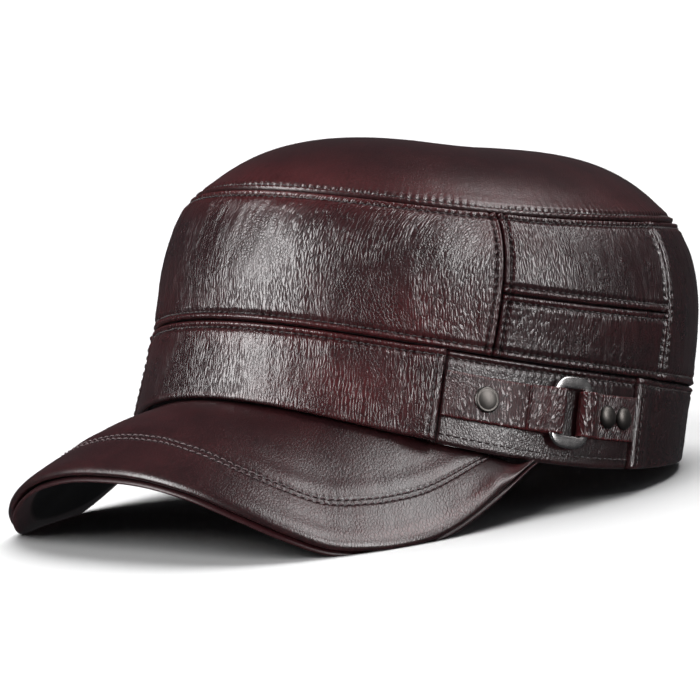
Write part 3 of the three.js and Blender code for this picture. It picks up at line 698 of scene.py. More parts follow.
def burnish(grid):
    """How red the leather is at each point: rubbed wear, with painted light where the lamps fall."""
    degrees = (np.degrees(grid["angle"]) + 180) % 360 - 180
    total = np.zeros_like(degrees)
    for angle, height, wide, tall, strength in WORN_AND_LIT:
        away = ((degrees - angle) / wide) ** 2 + ((grid["points"][..., 2] / MM - height) / tall) ** 2
        total = np.maximum(total, strength * np.exp(-away))
    return total


def groove_shade(height, sewing):
    """How far each point lies down in a groove, from 0 to 1: how much painted shade darkens it."""
    return smooth(0.15, 0.85, -height / sewing.groove) * 0.9


def add_piece(name, surface, angles, shares, sewn, ends, wall, creases, look, slot):
    """One cut piece of leather, with its seams, its rolled edges and its rows of stitches.

    sewn tells which of left, right, bottom and top are sewn seams, ends which are rolled edges."""
    sizes, sewing = bpy.context.scene.cap_sizes, bpy.context.scene.cap_sewing
    seed = sewing.seed + sum(ord(letter) for letter in name)
    edges, offsets, inner_edges = [], [], []
    for number in range(4):
        thickness = wall + (sizes.fold_rise if number < 2 else 0)
        if ends[number]:
            lines = rim(thickness) + [(at, 0) for at in SEAM_LINES if at > thickness / 2 + 0.3 * MM]
        else:
            lines = [(at, 0) for at in (SEAM_LINES if sewn[number] else (0, 1 * MM))]
        edges.append([line[0] for line in lines])
        offsets.append([line[1] for line in lines])
        inner_edges.append([thickness / 2 + 0.1 * MM if ends[number] else 0.0])
    clear = [sizes.gap / 2, sizes.gap / 2, 0 if ends[2] else sizes.gap / 2, sizes.gap / 2]
    grid = cut_grid(surface, angles, shares, edges, clear, LEATHER_STEP)
    rows, columns = grid["left"].shape
    height = leather_height(sewing, grid, sewn, creases, seed)
    row_offset, column_offset = np.zeros(rows), np.zeros(columns)
    for line, first, last in ((row_offset, offsets[2], offsets[3]), (column_offset, offsets[0], offsets[1])):
        line[:len(first)] = first
        line[len(line) - len(last):] = last[::-1]
    offset = np.minimum(row_offset[:, None], column_offset[None, :])
    folded = np.zeros_like(height)
    for number, distance in ((0, grid["left"]), (1, grid["right"])):
        if ends[number]:
            folded = np.maximum(folded, sizes.fold_rise * eased(FOLD_PROFILE, distance / MM))
            height -= np.exp(-((distance - FOLD_STITCHES) / (0.6 * MM)) ** 2) * sewing.groove * 0.2
    height = np.where(offset < -0.1 * MM, height * 0.2, height)
    grid["points"] = grid["points"] + grid["normals"] * (folded + offset + height)[..., None]
    inner = cut_grid(surface, angles, shares, inner_edges, clear, INNER_STEP)
    inner["points"] = inner["points"] - inner["normals"] * wall
    points, faces = closed_wall(grid, inner)
    edge_rub = 0.35 * np.exp(-((np.minimum(grid["top"], grid["bottom"]) - 1.2 * MM) / (0.7 * MM)) ** 2)
    grain = np.stack([grid["left"], grid["bottom"], np.full_like(grid["left"], seed * 3 * MM)], axis=-1)
    # groove marks painted shade where the leather lies down in a seam's groove
    marks = {"groove": whole(groove_shade(height, sewing), points),
             "burnish": whole(burnish(grid) + edge_rub, points),
             "grain": np.concatenate([grain.reshape(-1, 3), points[height.size:]])}
    add_part(name + "_leather", points, faces, look, slot, name, marks=marks, flatten=True)

    line = SEAM_LINES.index(min(SEAM_LINES, key=lambda at: abs(at - sewing.inset)))
    every = slice(None)
    seams = ((2, line), (3, -1 - line), (0, (every, line)), (1, (every, -1 - line)))
    rows_of_thread = [place for number, place in seams if sewn[number]]
    for number, distance in ((0, grid["left"]), (1, grid["right"])):
        if ends[number]:
            column = int(np.argmin(np.abs(distance[rows // 2] - FOLD_STITCHES)))
            rows_of_thread.append((slice(9, rows - 6), column))
    if ends[2] and not ends[0]:
        rows_of_thread.append(int(np.argmin(np.abs(grid["bottom"][:, columns // 2] - HEM_STITCHES))))
    sew(name, [(grid["points"][place], grid["normals"][place]) for place in rows_of_thread], sewing, slot)


def add_crown(sizes, sewing):
    """The crown top: fine rings round its sewn edge, and fewer points round each ring further in."""
    surface = crown_surface(sizes)
    rim_table, inward_table = np.linspace(0, 2 * np.pi, 1441), np.linspace(0, 1, 161)
    rim_run = run_along(outline_point(sizes, "top", rim_table))
    count, even = 1200, 16 * MM  # points round the fine rings, and how far in the rings lie at even distances
    rim_angle = np.interp(np.arange(count) / count * rim_run[-1], rim_run, rim_table)
    runs = np.stack([run_along(line) for line in surface(rim_angle[:, None], inward_table[None, :])])
    distances = spread(float(np.mean(runs[:, -1])) - sizes.gap / 2, SEAM_LINES, [0], 1.15 * MM)[0]
    rings = []
    for distance in distances[:-1]:
        fewer = 1 if distance < even else 2 if distance < 42 * MM else 4 if distance < 62 * MM else 8
        keep = slice(None, None, fewer)
        angle = rim_angle[keep]
        scaled = np.where(distance < even, distance,
                          even + (runs[keep, -1] - even) * (distance - even) / (distances[-1] - even))
        share = np.array([np.interp(a, r, inward_table) for a, r in zip(scaled + sizes.gap / 2, runs[keep])])
        points, out = surface(angle, share), normals(surface, angle, share)
        along = rim_run[-1] * np.arange(count)[keep] / count
        full = np.full(len(angle), distance)
        height = seam_height(sewing, full, along, rim_run[-1], sewing.seed + 3)
        x, y = points[:, 0] / MM, points[:, 1] / MM
        creased = noise(x / 9, y / 9, sewing.seed + 31) * 0.3 + noise(x / 30, y / 34, sewing.seed + 32) * 0.7
        radial = noise(along / MM / 2.6, distance / MM / 12 + np.zeros(len(along)), sewing.seed + 33)
        height += smooth(3 * MM, 7 * MM, distance) * (
            0.1 * MM * creased + 0.09 * MM * radial * np.exp(-distance / (9 * MM)))
        rings.append({"points": points + out * height[:, None], "at": np.append(angle, 2 * np.pi),
                      "height": height, "distance": full, "angle": angle, "out": out})
    inner_count, inner_rings = 96, []
    inner_angle = np.linspace(0, 2 * np.pi, inner_count + 1)[:-1]
    for share in np.linspace(0.94, 0.02, 9):
        share = np.full(inner_count, share)
        low = surface(inner_angle, share) - normals(surface, inner_angle, share) * sizes.panel_wall
        inner_rings.append({"points": low, "at": np.append(inner_angle, 2 * np.pi)})
    top = surface(np.array([0.0]), np.array([1.0]))
    chain = inner_rings + rings
    starts = np.cumsum([1] + [len(ring["points"]) for ring in chain])
    below = top - np.array([[0, 0, sizes.panel_wall]])
    points = np.concatenate([below] + [ring["points"] for ring in chain] + [top])
    indices = [np.arange(start, end) for start, end in zip(starts[:-1], starts[1:])]
    first, last = indices[0], indices[-1]
    quads = []
    triangles = [np.stack([np.zeros(inner_count, int), np.roll(first, -1), first], axis=-1)[:, ::-1]]
    for a, b, ring_a, ring_b in zip(indices[:-1], indices[1:], chain[:-1], chain[1:]):
        if len(a) == len(b):
            quads.append(grid_faces(np.stack([a, b]), closed=True))
        else:
            faces = ladder(np.append(a, a[0]), np.append(b, b[0]), ring_a["at"], ring_b["at"])
            triangles.append(faces[:, ::-1])
    triangles.append(np.stack([last, np.roll(last, -1), np.full(len(last), starts[-1])], axis=-1))

    def joined(key):
        return np.concatenate([ring[key] for ring in rings])

    def on_rings(values):
        return np.concatenate([np.zeros(starts[len(inner_rings)]), values, np.zeros(1)])
    degrees = (np.degrees(joined("angle")) + 180) % 360 - 180
    # Redder ring near the sewn edge, most at the front: partly rubbed wear, partly a painted sheen where the
    # dome turns sideways to the light. groove darkens the seam with painted shade.
    wear_and_light = 0.6 * np.exp(-((joined("distance") - 6 * MM) / (11 * MM)) ** 2)
    wear_and_light = wear_and_light * (0.55 + 0.45 * np.exp(-((degrees - 5) / 70) ** 2)) + 0.05
    marks = {"groove": on_rings(groove_shade(joined("height"), sewing)), "burnish": on_rings(wear_and_light),
             "grain": points}
    add_part("crown_top_leather", points, [np.concatenate(quads), np.concatenate(triangles)],
             "smooth_leather_finish", "burgundy_leather", "crown_top", marks=marks)
    row = next(ring for ring in rings if abs(ring["distance"][0] - sewing.inset) < 0.01 * MM)
    closed = [np.concatenate([row[key], row[key][:1]]) for key in ("points", "out")]
    sew("crown_top", [closed], sewing, "burgundy_leather", count=int(round(rim_run[-1] / sewing.pitch)))


# The peak

class Peak:
    """The face between the peak's two covers, as functions of round (-1 to 1) and inward (0 to 1)."""

    def __init__(self, sizes, peak):
        self.sizes, self.peak = sizes, peak
        self.band = band_surface(sizes)
        self.rounds = np.array([-row[0] for row in PEAK_EDGE[:0:-1]] + [row[0] for row in PEAK_EDGE])
        self.drops = np.array([row[1] for row in PEAK_EDGE[:0:-1]] + [row[1] for row in PEAK_EDGE])
        self.slopes = np.gradient(self.drops, self.rounds)

    def drop(self, round_):
        """Smooth curve through the rows of the peak's edge."""
        x, y, m = self.rounds, self.drops, self.slopes
        row = np.clip(np.searchsorted(x, round_, side="right") - 1, 0, len(x) - 2)
        width = x[row + 1] - x[row]
        t = (round_ - x[row]) / width
        return ((2 * t**3 - 3 * t**2 + 1) * y[row] + (t**3 - 2 * t**2 + t) * width * m[row]
                + (3 * t**2 - 2 * t**3) * y[row + 1] + (t**3 - t**2) * width * m[row + 1])

    def edge(self, round_):
        peak, sizes = self.peak, self.sizes
        end = outline_point(sizes, "hem", np.array(peak.end_angle))
        turn = round_ * np.pi / 2
        power = 2 / peak.squareness
        x = (end[0] + peak.end_step) * np.sign(round_) * np.abs(np.sin(turn)) ** power
        y = end[1] - (sizes.hem_half_length + peak.reach + end[1]) * np.abs(np.cos(turn)) ** power
        return np.stack([x, y, -self.drop(round_) * peak.drop], axis=-1)

    def tuck(self, round_):
        peak = self.peak
        angle = peak.end_angle * (peak.fan * round_ + (1 - peak.fan) * round_**3)
        zero = np.zeros_like(angle)
        out = normals(self.band, angle, zero)
        up = unit(self.band(angle, zero + 1) - self.band(angle, zero))
        return self.band(angle, zero) - out * peak.tuck - up * peak.clearance

    def root(self, round_):
        tuck = self.tuck(round_)
        along = self.tuck(round_ + 1e-3) - self.tuck(round_ - 1e-3)
        down = unit(np.cross(tuck - self.edge(round_), along))
        return tuck + down * (self.peak.cover + self.sizes.gap / 2)

    def face(self, round_, inward):
        round_, inward = np.broadcast_arrays(round_, inward)
        share = inward[..., None]
        point = self.edge(round_) * (1 - share) + self.root(round_) * share
        point[..., 2] += self.peak.bulge * np.sin(np.pi * inward) * (1 - round_**2)
        return point


def peak_columns(form, step, last=0.996):
    """Places round the peak at even steps of its edge, and their distances along it."""
    table = np.linspace(-last, last, 2001)
    run = run_along(form.edge(table))
    even = np.linspace(0, run[-1], int(run[-1] / step) + 1)
    return np.interp(even, run, table), even


def peak_grid(form, rounds, run, lines):
    """A grid over the peak. lines holds distances from the edge, which shrink where the peak is narrow."""
    width = np.linalg.norm(form.edge(rounds) - form.root(rounds), axis=-1)
    lines = np.array(lines)
    distance = np.empty((len(lines), len(rounds)))
    for column, wide in enumerate(width):
        kept = min(max(wide - 3 * MM, 1.3 * MM), 22 * MM)
        distance[:, column] = np.interp(lines, [-2 * MM, 0, kept, lines[-1]], [-2 * MM, 0, kept, wide])
    inward = distance / width[None, :]
    grid_round = np.broadcast_to(rounds[None, :], inward.shape)
    return {"points": form.face(grid_round, inward), "normals": normals(form.face, grid_round, inward),
            "left": np.broadcast_to(run[None, :], inward.shape), "bottom": distance, "width": width,
            "round": grid_round, "lines": lines, "ends": 1 - smooth(0.93, 0.985, np.abs(grid_round))}


def roll(radius_in, radius_up, start, count):
    """Distance and height of the lines round the peak's rolled edge."""
    turns = np.linspace(-0.5, 0.5, count) * np.pi
    return [(radius_in * (1 - math.cos(turn)) - start, radius_up * (1 + math.sin(turn))) for turn in turns]


def close_cover(form, grid, rounds, run, offset, fewer, first_line, side):
    """Lifts a cover off the face between the covers and closes it with a coarse inner face."""
    grid["points"] = grid["points"] + grid["normals"] * offset[..., None]
    coarse = rounds[::fewer] if (len(rounds) - 1) % fewer == 0 else np.append(rounds[::fewer], rounds[-1])
    lines = [first_line, 6 * MM] + list(np.linspace(12, 62, 8) * MM)
    inner = peak_grid(form, coarse, np.interp(coarse, rounds, run), lines)
    inner["points"] = inner["points"] + side * inner["normals"] * form.sizes.gap / 2
    return closed_wall(grid, inner)


def add_peak_top(sizes, peak, sewing):
    """The upper cover, with its thick rolled edge and the double stitching."""
    form = Peak(sizes, peak)
    rounds, run = peak_columns(form, 0.85 * MM)
    rolled = roll(2.6 * MM, (peak.roll - 0.1 * MM) / 2, 1.1 * MM, 9)
    row_a, row_b = peak.stitch_inset - peak.stitch_apart / 2, peak.stitch_inset + peak.stitch_apart / 2
    beside = [row_a + shift * MM for shift in (-3, -2.2, -1.5, -0.9, -0.45, 0, 0.45, 0.95)]
    beside += [row_b + shift * MM for shift in (-0.45, 0, 0.45, 0.9, 1.5, 2.2, 3)]
    lines = list(np.arange(3, 15, 0.95) * MM) + beside
    lines += list(np.arange(beside[-1] + 1 * MM, PEAK_WIDTH, 1.05 * MM)) + [PEAK_WIDTH]
    lines = [line[0] for line in rolled] + [line for line in sorted(lines) if line > rolled[-1][0] + 0.4 * MM]
    grid = peak_grid(form, rounds, run, lines)
    nominal, ends = grid["bottom"], grid["ends"]
    covers = [(1.2, peak.roll / MM), (14, peak.cover / MM + 0.1), (62, peak.cover / MM)]
    thick = eased(covers, nominal / MM) * MM
    thick[:len(rolled)] = np.array([line[1] for line in rolled])[:, None]
    beat = grid["left"] / run[-1] * round(run[-1] / sewing.pitch)
    wave = np.cos(2 * np.pi * beat)
    uneven = 0.75 + 0.4 * noise(beat * 0.5, nominal / (4 * MM), sewing.seed + 50)
    # grooves marks painted shade: darker along the stitch rows and where the rolled edge sinks into the cover
    height, grooves = np.zeros_like(thick), np.zeros_like(thick)
    for row in (row_a, row_b):
        away = (nominal - row) / MM
        height -= (0.34 + 0.1 * wave * uneven) * MM * np.exp(-(away / 0.55) ** 2)
        height -= 0.07 * MM * wave * uneven * np.exp(-np.abs(away) / 1.6)
        grooves += 0.8 * np.exp(-((nominal - row) / (0.5 * MM)) ** 2)
    height += 0.34 * MM * np.exp(-((nominal - row_b - 4 * MM) / (3.6 * MM)) ** 2)
    height += 0.2 * MM * np.exp(-((nominal - row_a + 4 * MM) / (3.4 * MM)) ** 2)
    x, y = grid["points"][..., 0] / MM, grid["points"][..., 1] / MM
    soft = 0.16 * noise(x / 22, y / 20, sewing.seed + 51) + 0.05 * noise(x / 5, y / 6, sewing.seed + 52)
    height += smooth(3 * MM, 7 * MM, nominal) * MM * soft
    lift = thick * (0.35 + 0.65 * ends) + height * ends
    points, faces = close_cover(form, grid, rounds, run, sizes.gap / 2 + lift, 6, 2.4 * MM, 1)
    grooves += 0.7 * (1 - smooth(-0.3, 0.8, lift / MM)) * (nominal < 3 * MM)
    near_edge = np.exp(-((nominal - 3 * MM) / (3 * MM)) ** 2)
    wear_and_light = 0.12 + 0.5 * near_edge * smooth(0.4, 0.9, np.abs(grid["round"]))
    wear_and_light += 0.35 * np.exp(-((grid["round"] + 0.45) / 0.3) ** 2 - ((nominal - 28 * MM) / (16 * MM)) ** 2)
    grain = np.concatenate([np.stack([x, y, 0 * x], axis=-1).reshape(-1, 3) * MM, points[height.size:]])
    marks = {"groove": whole(np.clip(grooves, 0, 1), points), "burnish": whole(wear_and_light, points),
             "grain": grain}
    add_part("peak_top_leather", points, faces, "smooth_leather_finish", "burgundy_leather", "peak_top",
             marks=marks, flatten=True)
    rows = []
    for row in (row_a, row_b):
        line = int(np.argmin(np.abs(grid["lines"] - row)))
        wide = np.flatnonzero(grid["width"] > row + 3 * MM)
        kept = slice(wide[0], wide[-1] + 1)
        rows.append((grid["points"][line, kept], grid["normals"][line, kept]))
    sew("peak_top", rows, sewing, "burgundy_leather", "peak_thread_finish", flatten=True)


def add_peak_underside(sizes, peak, sewing):
    """The black lower cover, with its thinner brown roll."""
    form = Peak(sizes, peak)
    rounds, run = peak_columns(form, 1.3 * MM)
    rolled = roll(1.4 * MM, peak.under / 2, 1.7 * MM, 7)
    lines = [line[0] for line in rolled] + [2.6 * MM] + list(np.arange(4.2, 62, 1.6) * MM) + [PEAK_WIDTH]
    grid = peak_grid(form, rounds, run, lines)
    thick = np.full((len(lines), len(rounds)), peak.under)
    thick[:len(rolled)] = np.array([line[1] for line in rolled])[:, None]
    x, y = grid["points"][..., 0] / MM, grid["points"][..., 1] / MM
    soft = 0.12 * MM * noise(x / 15, y / 13, sewing.seed + 60)
    soft = soft * smooth(3 * MM, 9 * MM, grid["lines"])[:, None]
    offset = -sizes.gap / 2 - thick * (0.4 + 0.6 * grid["ends"]) + np.minimum(soft, 0)
    points, faces = close_cover(form, grid, rounds, run, offset, 4, 1.6 * MM, -1)
    trim = 1 - smooth(4 * MM, 6 * MM, grid["bottom"])
    add_part("peak_underside_leather", points, [face[:, ::-1] for face in faces], "black_leather_finish",
             "black_leather", "peak_underside", marks={"trim": whole(trim, points)}, flatten=True)


# Straps, rings and rivets


class Course:
    """Distances round the band at the height of the straps."""

    def __init__(self, sizes, strap):
        self.sizes, self.strap, self.surface = sizes, strap, band_surface(sizes)
        self.angles = np.linspace(0, np.pi, 721)
        self.run = run_along(self.surface(self.angles, np.full(721, strap.line)))

    def at(self, angle):
        return float(np.interp(angle, self.angles, self.run))

    def place(self, course, up, out):
        """Points on the band and their normals: course round it, up and out from the straps' line."""
        course, up, out = np.broadcast_arrays(np.asarray(course, float), up, out)
        angle = np.interp(course, self.run, self.angles)
        zero = np.zeros_like(angle)
        tall = np.linalg.norm(self.surface(angle, zero + 1) - self.surface(angle, zero), axis=-1)
        share = self.strap.line + up / tall
        normal = normals(self.surface, angle, share)
        return self.surface(angle, share) + normal * out[..., None], normal


def ribbon(length, return_length, sizes, strap, seed):
    """A strap that starts flat on the band, folds round the ring's bar and comes back over itself.

    Returns the way along from the ring, the height over the band and the way across of each point of its
    outline, with the leather's relief built in, and the distance run along the strap."""
    gap, leather = sizes.gap, strap.leather
    layer_top = gap + leather
    slot_top = layer_top + strap.ring_thickness + 2 * gap
    slot_start, slot_end = strap.window_width / 2 - gap, strap.ring_width / 2 + gap
    fold = (slot_top + leather - gap) / 2
    fold_start = slot_start - leather + fold
    step = fold_start - fold + return_length
    base = [(x, gap + leather / 2)
            for x in np.linspace(length, fold_start, int((length - fold_start) / (0.7 * MM)))]
    bend = fold - leather / 2
    around = [(fold_start + bend * math.cos(turn), gap + fold + bend * math.sin(turn))
              for turn in np.linspace(-0.5, -1.5, 14)[1:-1] * np.pi]
    high, low = slot_top + leather / 2, layer_top + leather / 2 + 0.06 * MM
    back = [(x, high + (low - high) * float(smooth(slot_end - 1.5 * MM, step - 1.2 * MM, x)))
            for x in np.linspace(fold_start, step, int((step - fold_start) / (0.55 * MM)))]
    path = np.array(base + around + back)
    ahead = unit(np.gradient(path, axis=0))
    run = run_along(path)
    half_width, half_thick, corner = strap.width / 2, leather / 2, 0.42 * MM
    corner_turns = np.linspace(0, math.pi / 2, 4)
    flat = half_width - 1.1 * MM
    across = np.concatenate([-half_width + corner * (1 - np.cos(corner_turns)), np.linspace(-flat, flat, 17),
                             half_width - corner * (1 - np.sin(corner_turns))])
    bevel = np.concatenate([half_thick - corner + corner * np.sin(corner_turns), np.full(17, half_thick),
                            half_thick - corner + corner * np.cos(corner_turns)])
    w, t = np.concatenate([across, across[::-1]]), np.concatenate([bevel, -bevel[::-1]])
    edge_in = np.minimum(half_width - np.abs(w), 4 * MM)
    crease = -0.13 * MM * np.exp(-((edge_in - 1.5 * MM) / (0.45 * MM)) ** 2)
    puff = 0.1 * MM * smooth(1.5 * MM, 4 * MM, edge_in)
    crinkle = (noise(run[:, None] / (1.5 * MM), w[None, :] / (2.6 * MM), seed) * 0.6
               + noise(run[:, None] / (4 * MM), w[None, :] / (7 * MM), seed + 1)) * 0.15 * MM
    relief = (crease + puff)[None, :] + crinkle
    ends = smooth(0, 1.4 * MM, run) * smooth(0, 1.4 * MM, run[-1] - run)
    lift = np.where(t[None, :] > 0, relief, relief * 0.15)
    thick = t[None, :] * (0.75 + 0.25 * ends)[:, None] + np.sign(t)[None, :] * lift * ends[:, None]
    x = path[:, 0][:, None] - ahead[:, 1][:, None] * thick
    out = path[:, 1][:, None] + ahead[:, 0][:, None] * thick
    return x, out, np.broadcast_to(w[None, :], x.shape), run


def add_strap(label, side, kind, sizes, strap, sewing, places):
    """The strap before the ring, or the tab behind it."""
    direction, start, back, name = {
        "strap": (-1, places["strap_start"], strap.strap_return, "strap_" + label),
        "tab": (1, places["tab_start"], strap.tab_return, "strap_tab_" + label),
    }[kind]
    seed = sewing.seed + 70 + direction
    x, out, w, run = ribbon(direction * (start - places["ring"]), back, sizes, strap, seed)
    points, _ = places["course"].place(places["ring"] + direction * x, w, out)
    index = np.arange(x.size).reshape(x.shape)
    points = points.reshape(-1, 3) * np.array([side, 1, 1])
    faces = [grid_faces(index, closed=True), np.stack([index[0], index[-1][::-1]])]
    if direction * side < 0:
        faces = [face[:, ::-1] for face in faces]
    grain = np.stack([np.broadcast_to(run[:, None], x.shape), w, np.full_like(w, seed * MM)], axis=-1)
    edge_in = strap.width / 2 - np.abs(w)
    wear_and_light = 0.3 + 0.5 * np.exp(-(edge_in / (0.8 * MM)) ** 2)
    # Painted shade along the crease 1.5 mm in from each edge
    groove = 0.55 * np.exp(-((edge_in - 1.5 * MM) / (0.4 * MM)) ** 2)
    add_part(name + "_leather", points, faces, "strap_leather_finish", "burgundy_leather", name,
             marks={"groove": groove.reshape(-1), "burnish": wear_and_light.reshape(-1),
                    "grain": grain.reshape(-1, 3)})


def add_ring(label, side, sizes, strap, places):
    """The flat oval ring, with rounded edges and a rounded opening."""
    count, section = 96, 16

    def rounded(wave, power):
        return np.sign(wave) * np.abs(wave) ** power

    def oval(half_width, half_height, squareness):
        turn, power = np.linspace(0, 2 * np.pi, count + 1)[:-1], 2 / squareness
        return np.stack([half_width * rounded(np.cos(turn), power),
                         half_height * rounded(np.sin(turn), power)], axis=-1)
    outer = oval(strap.ring_width / 2, strap.ring_height / 2, 3)
    inner = oval(strap.window_width / 2, strap.width / 2 + sizes.gap, 9)
    spin = np.linspace(0, 2 * np.pi, section + 1)[:-1]
    share, rise = 0.5 + 0.5 * rounded(np.cos(spin), 0.55), 0.5 + 0.5 * rounded(np.sin(spin), 0.75)
    flat = inner[:, None, :] * (1 - share)[None, :, None] + outer[:, None, :] * share[None, :, None]
    out = 2 * sizes.gap + strap.leather + rise[None, :] * strap.ring_thickness
    points, _ = places["course"].place(places["ring"] + flat[..., 0], flat[..., 1], out + 0 * flat[..., 0])
    points = points.reshape(-1, 3) * np.array([side, 1, 1])
    index = np.arange(count * section).reshape(count, section)
    quads = grid_faces(np.concatenate([index, index[:1]]), closed=True)
    add_part("ring_" + label + "_metal", points, [quads if side < 0 else quads[:, ::-1]], "gunmetal_finish",
             "gunmetal", "ring_" + label)


def add_rivet(name, radius, height, profile, at, side, sizes, strap, course):
    """A rivet's head on the strap, turned round its own axis."""
    sunk = 0.25 * MM
    place, normal = course.place(at, 0, 2 * sizes.gap + strap.leather - sunk)
    place, normal = place.reshape(3), normal.reshape(3)
    first = unit(np.cross(normal, [0, 0, 1]))
    second = np.cross(normal, first)
    turn = np.linspace(0, 2 * np.pi, RIVET_SIDES + 1)[:-1, None]
    rings = [place + normal * (rise * height) + radius * out * (np.cos(turn) * first + np.sin(turn) * second)
             for out, rise in profile]
    points = np.concatenate(rings + [place[None] + normal * height, place[None]]) * np.array([side, 1, 1])
    index = np.arange(len(profile) * RIVET_SIDES).reshape(len(profile), RIVET_SIDES)
    top, base = np.full(RIVET_SIDES, len(points) - 2), np.full(RIVET_SIDES, len(points) - 1)
    fans = [np.stack([index[-1], np.roll(index[-1], -1), top], axis=-1),
            np.stack([np.roll(index[0], -1), index[0], base], axis=-1)]
    faces = [grid_faces(index, closed=True), np.concatenate(fans)]
    if side < 0:
        faces = [face[:, ::-1] for face in faces]
    add_part(name + "_metal", points, faces, "nickel_finish", "rivet_nickel", name)


def strap_places(sizes, strap):
    """Distances round the band of the strap's start, the ring, the tab's start and the rivets."""
    course = Course(sizes, strap)
    strap_start = course.at(sizes.front_band) + sizes.gap
    tab_start = course.at(sizes.back_band) - sizes.gap
    back_rivet = tab_start - 6.8 * MM
    front_rivet = back_rivet - 8.4 * MM
    ring = front_rivet - strap.tab_rivet - 0.8 * MM - strap.tab_return
    ring -= strap.window_width / 2 - sizes.gap - strap.leather
    return {"course": course, "strap_start": strap_start, "tab_start": tab_start, "ring": ring,
            "front_rivet": front_rivet, "back_rivet": back_rivet, "strap_rivet": strap_start + 14.9 * MM}


# Operators

def turned(side, low, high):
    """The angles of a stretch on the left side, or of its mirror image on the right."""
    return (low, high) if side > 0 else (-high, -low)


class CAP_OT_crown(bpy.types.Operator):
    """Build the crown top with its sewn edge"""
    bl_idname = "cap.crown"
    bl_label = "Crown top"

    def execute(self, context):
        add_crown(context.scene.cap_sizes, context.scene.cap_sewing)
        return {"FINISHED"}


class CAP_OT_panels(bpy.types.Operator):
    """Build the front, side and back panels with their seams"""
    bl_idname = "cap.panels"
    bl_label = "Panels"

    def execute(self, context):
        sizes = context.scene.cap_sizes
        surface = panel_surface(sizes)
        front, back = sizes.front_seam, sizes.back_seam
        side_run = run_along(surface(np.full(201, np.pi / 2), np.linspace(0, 1, 201)))[-1]
        seam = sizes.side_seam / side_run
        rows = [("front_panel", (-front, front), (0, 1), 1.0, "burgundy_leather"),
                ("back_panel", (back, 2 * np.pi - back), (0, 1), 0.8, "dark_leather")]
        for label, side in SIDES.items():
            angles = turned(side, front, back)
            rows += [("side_panel_upper_" + label, angles, (seam, 1), 0.8, "dark_leather"),
                     ("side_panel_lower_" + label, angles, (0, seam), 0.7, "dark_leather")]
        for name, angles, shares, creases, slot in rows:
            add_piece(name, surface, angles, shares, (True,) * 4, (False,) * 4, sizes.panel_wall, creases,
                      slot + "_finish", slot)
        return {"FINISHED"}


class CAP_OT_band(bpy.types.Operator):
    """Build the band in its four pieces, with a rolled hem"""
    bl_idname = "cap.band"
    bl_label = "Band"

    def execute(self, context):
        sizes = context.scene.cap_sizes
        surface = band_surface(sizes)
        front, back = sizes.front_band, sizes.back_band
        folded, plain = (True, True, True, False), (False, False, True, False)
        rows = [("front_band", (-front, front), folded, 0.7, "burgundy_leather_finish", "burgundy_leather"),
                ("back_band", (back, 2 * np.pi - back), folded, 0.6, "dark_leather_finish", "dark_leather")]
        for label, side in SIDES.items():
            rows.append(("side_band_" + label, turned(side, front, back), plain, 0.5, "calm_leather_finish",
                         "dark_leather"))
        for name, angles, ends, creases, look, slot in rows:
            add_piece(name, surface, angles, (0, 1), (False, False, False, True), ends, sizes.band_wall,
                      creases, look, slot)
        return {"FINISHED"}


class CAP_OT_peak(bpy.types.Operator):
    """Build the peak's two covers with the double stitching"""
    bl_idname = "cap.peak"
    bl_label = "Peak"

    def execute(self, context):
        scene = context.scene
        add_peak_top(scene.cap_sizes, scene.cap_peak, scene.cap_sewing)
        add_peak_underside(scene.cap_sizes, scene.cap_peak, scene.cap_sewing)
        return {"FINISHED"}


class CAP_OT_straps(bpy.types.Operator):
    """Build the folded straps and tabs at both sides"""
    bl_idname = "cap.straps"
    bl_label = "Straps"

    def execute(self, context):
        scene = context.scene
        places = strap_places(scene.cap_sizes, scene.cap_strap)
        for label, side in SIDES.items():
            for kind in ("strap", "tab"):
                add_strap(label, side, kind, scene.cap_sizes, scene.cap_strap, scene.cap_sewing, places)
        return {"FINISHED"}


class CAP_OT_metal(bpy.types.Operator):
    """Build the rings and the rivets"""
    bl_idname = "cap.metal"
    bl_label = "Rings and rivets"

    def execute(self, context):
        sizes, strap = context.scene.cap_sizes, context.scene.cap_strap
        places = strap_places(sizes, strap)
        flat = (strap.strap_rivet, strap.flat_rise, FLAT_HEAD)
        domed = (strap.tab_rivet, strap.domed_rise, DOMED_HEAD)
        for label, side in SIDES.items():
            add_ring(label, side, sizes, strap, places)
            for name, form, place in (("strap_rivet_", flat, "strap_rivet"),
                                      ("tab_rivet_front_", domed, "front_rivet"),
                                      ("tab_rivet_back_", domed, "back_rivet")):
                add_rivet(name + label, *form, places[place], side, sizes, strap, places["course"])
        return {"FINISHED"}


def way_out(azimuth, elevation):
    """The way from the cap to a light or the camera. Azimuth is from the front."""
    flat = math.cos(elevation)
    return Vector((math.sin(azimuth) * flat, -math.cos(azimuth) * flat, math.sin(elevation)))


def add_object(name, data):
    made = bpy.data.objects.new(name, data)
    bpy.context.scene.collection.objects.link(made)
    return made


def add_sun(name, energy, softness, turns):
    """A soft sun that doesn't show in reflections. Its softness and turns are in degrees."""
    data = bpy.data.lights.new(name, "SUN")
    data.energy, data.angle = energy, math.radians(softness)
    sun = add_object(name, data)
    sun.rotation_euler = [math.radians(turn) for turn in turns]
    sun.visible_glossy = False


def add_softbox(name, azimuth, elevation, width, height, power):
    """A box light that shows in reflections only. Its azimuth and elevation are in degrees."""
    away = way_out(math.radians(azimuth), math.radians(elevation))
    data = bpy.data.lights.new(name, "AREA")
    data.shape = "RECTANGLE"
    data.size, data.size_y, data.energy = width, height, power
    lamp = add_object(name, data)
    lamp.location = Vector((0, 0, 60 * MM)) + away * 1.5
    lamp.rotation_euler = away.to_track_quat("Z", "Y").to_euler()
    lamp.visible_diffuse = False


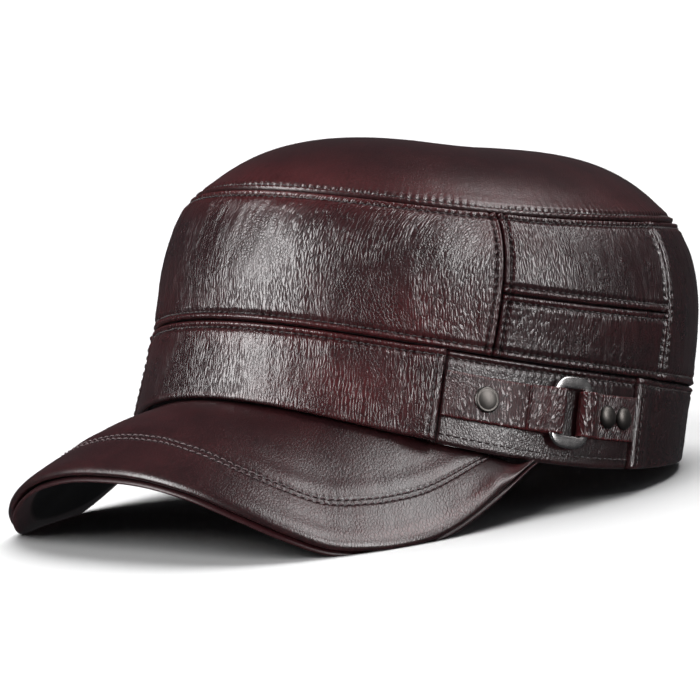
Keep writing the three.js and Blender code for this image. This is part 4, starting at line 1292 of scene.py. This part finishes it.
class CAP_OT_stage(bpy.types.Operator):
    """Set up the floor, the camera and the lights"""
    bl_idname = "cap.stage"
    bl_label = "Stage"

    def execute(self, context):
        scene = context.scene
        studio = scene.cap_studio
        reach = studio.floor_reach
        corners = [(-reach, -reach, 0), (reach, -reach, 0), (reach, reach, 0), (-reach, reach, 0)]
        floor = make_mesh("floor", np.array(corners, float), [np.array([[0, 1, 2, 3]])])
        paper = bpy.data.materials.new("floor_paper")
        paper.use_nodes = True
        shader = paper.node_tree.nodes["Principled BSDF"]
        shader.inputs["Base Color"].default_value = (0.9, 0.9, 0.9, 1)
        shader.inputs["Roughness"].default_value = 0.95
        shader.inputs["Specular IOR Level"].default_value = 0
        floor.data.materials.append(paper)
        floor.visible_glossy = False

        scene.world = bpy.data.worlds.new("studio")
        scene.world.use_nodes = True
        sky = scene.world.node_tree.nodes["Background"]
        sky.inputs["Color"].default_value = (0.92, 0.94, 1, 1)
        sky.inputs["Strength"].default_value = 0.06
        add_sun("overhead", 3.1, 56, (-18, -14, 0))
        add_sun("front_fill", 1.4, 40, (48, 0, 8))
        add_softbox("softbox_left", -23, 22, 0.6, 1.3, 42)
        add_softbox("softbox_right", 96, 24, 0.35, 1.1, 24)
        add_softbox("softbox_back", 138, 50, 0.7, 0.7, 12)

        data = bpy.data.cameras.new("camera")
        data.sensor_width, data.lens, data.clip_end = 36, studio.lens, 100
        camera = add_object("camera", data)
        away = way_out(studio.azimuth, studio.elevation)
        camera.location = Vector(studio.target) + away * studio.distance
        camera.rotation_mode = "QUATERNION"
        turn = away.to_track_quat("Z", "Y") @ Matrix.Rotation(studio.roll, 3, "Z").to_quaternion()
        camera.rotation_quaternion = turn
        scene.camera = camera
        scene.view_settings.view_transform = "Standard"
        return {"FINISHED"}


OPERATORS = [CAP_OT_stage, CAP_OT_crown, CAP_OT_panels, CAP_OT_band, CAP_OT_peak, CAP_OT_straps, CAP_OT_metal]


class CAP_PT_panel(bpy.types.Panel):
    """The cap's pieces and sizes in the sidebar"""
    bl_idname = "CAP_PT_panel"
    bl_label = "Leather cap"
    bl_space_type = "VIEW_3D"
    bl_region_type = "UI"
    bl_category = "Cap"

    def draw(self, context):
        for operator in OPERATORS:
            self.layout.operator(operator.bl_idname)
        for key, group in GROUPS.items():
            box = self.layout.box()
            for field in group.__annotations__:
                box.prop(getattr(context.scene, key), field)


CLASSES = [*GROUPS.values(), *OPERATORS, CAP_PT_panel]


def register():
    for cls in CLASSES:
        bpy.utils.register_class(cls)
    for key, group in GROUPS.items():
        setattr(bpy.types.Scene, key, PointerProperty(type=group))


def unregister():
    for key in GROUPS:
        delattr(bpy.types.Scene, key)
    for cls in reversed(CLASSES):
        bpy.utils.unregister_class(cls)


def main():
    register()
    for operator in OPERATORS:
        group, name = operator.bl_idname.split(".")
        getattr(getattr(bpy.ops, group), name)()


if __name__ == "__main__":
    main()
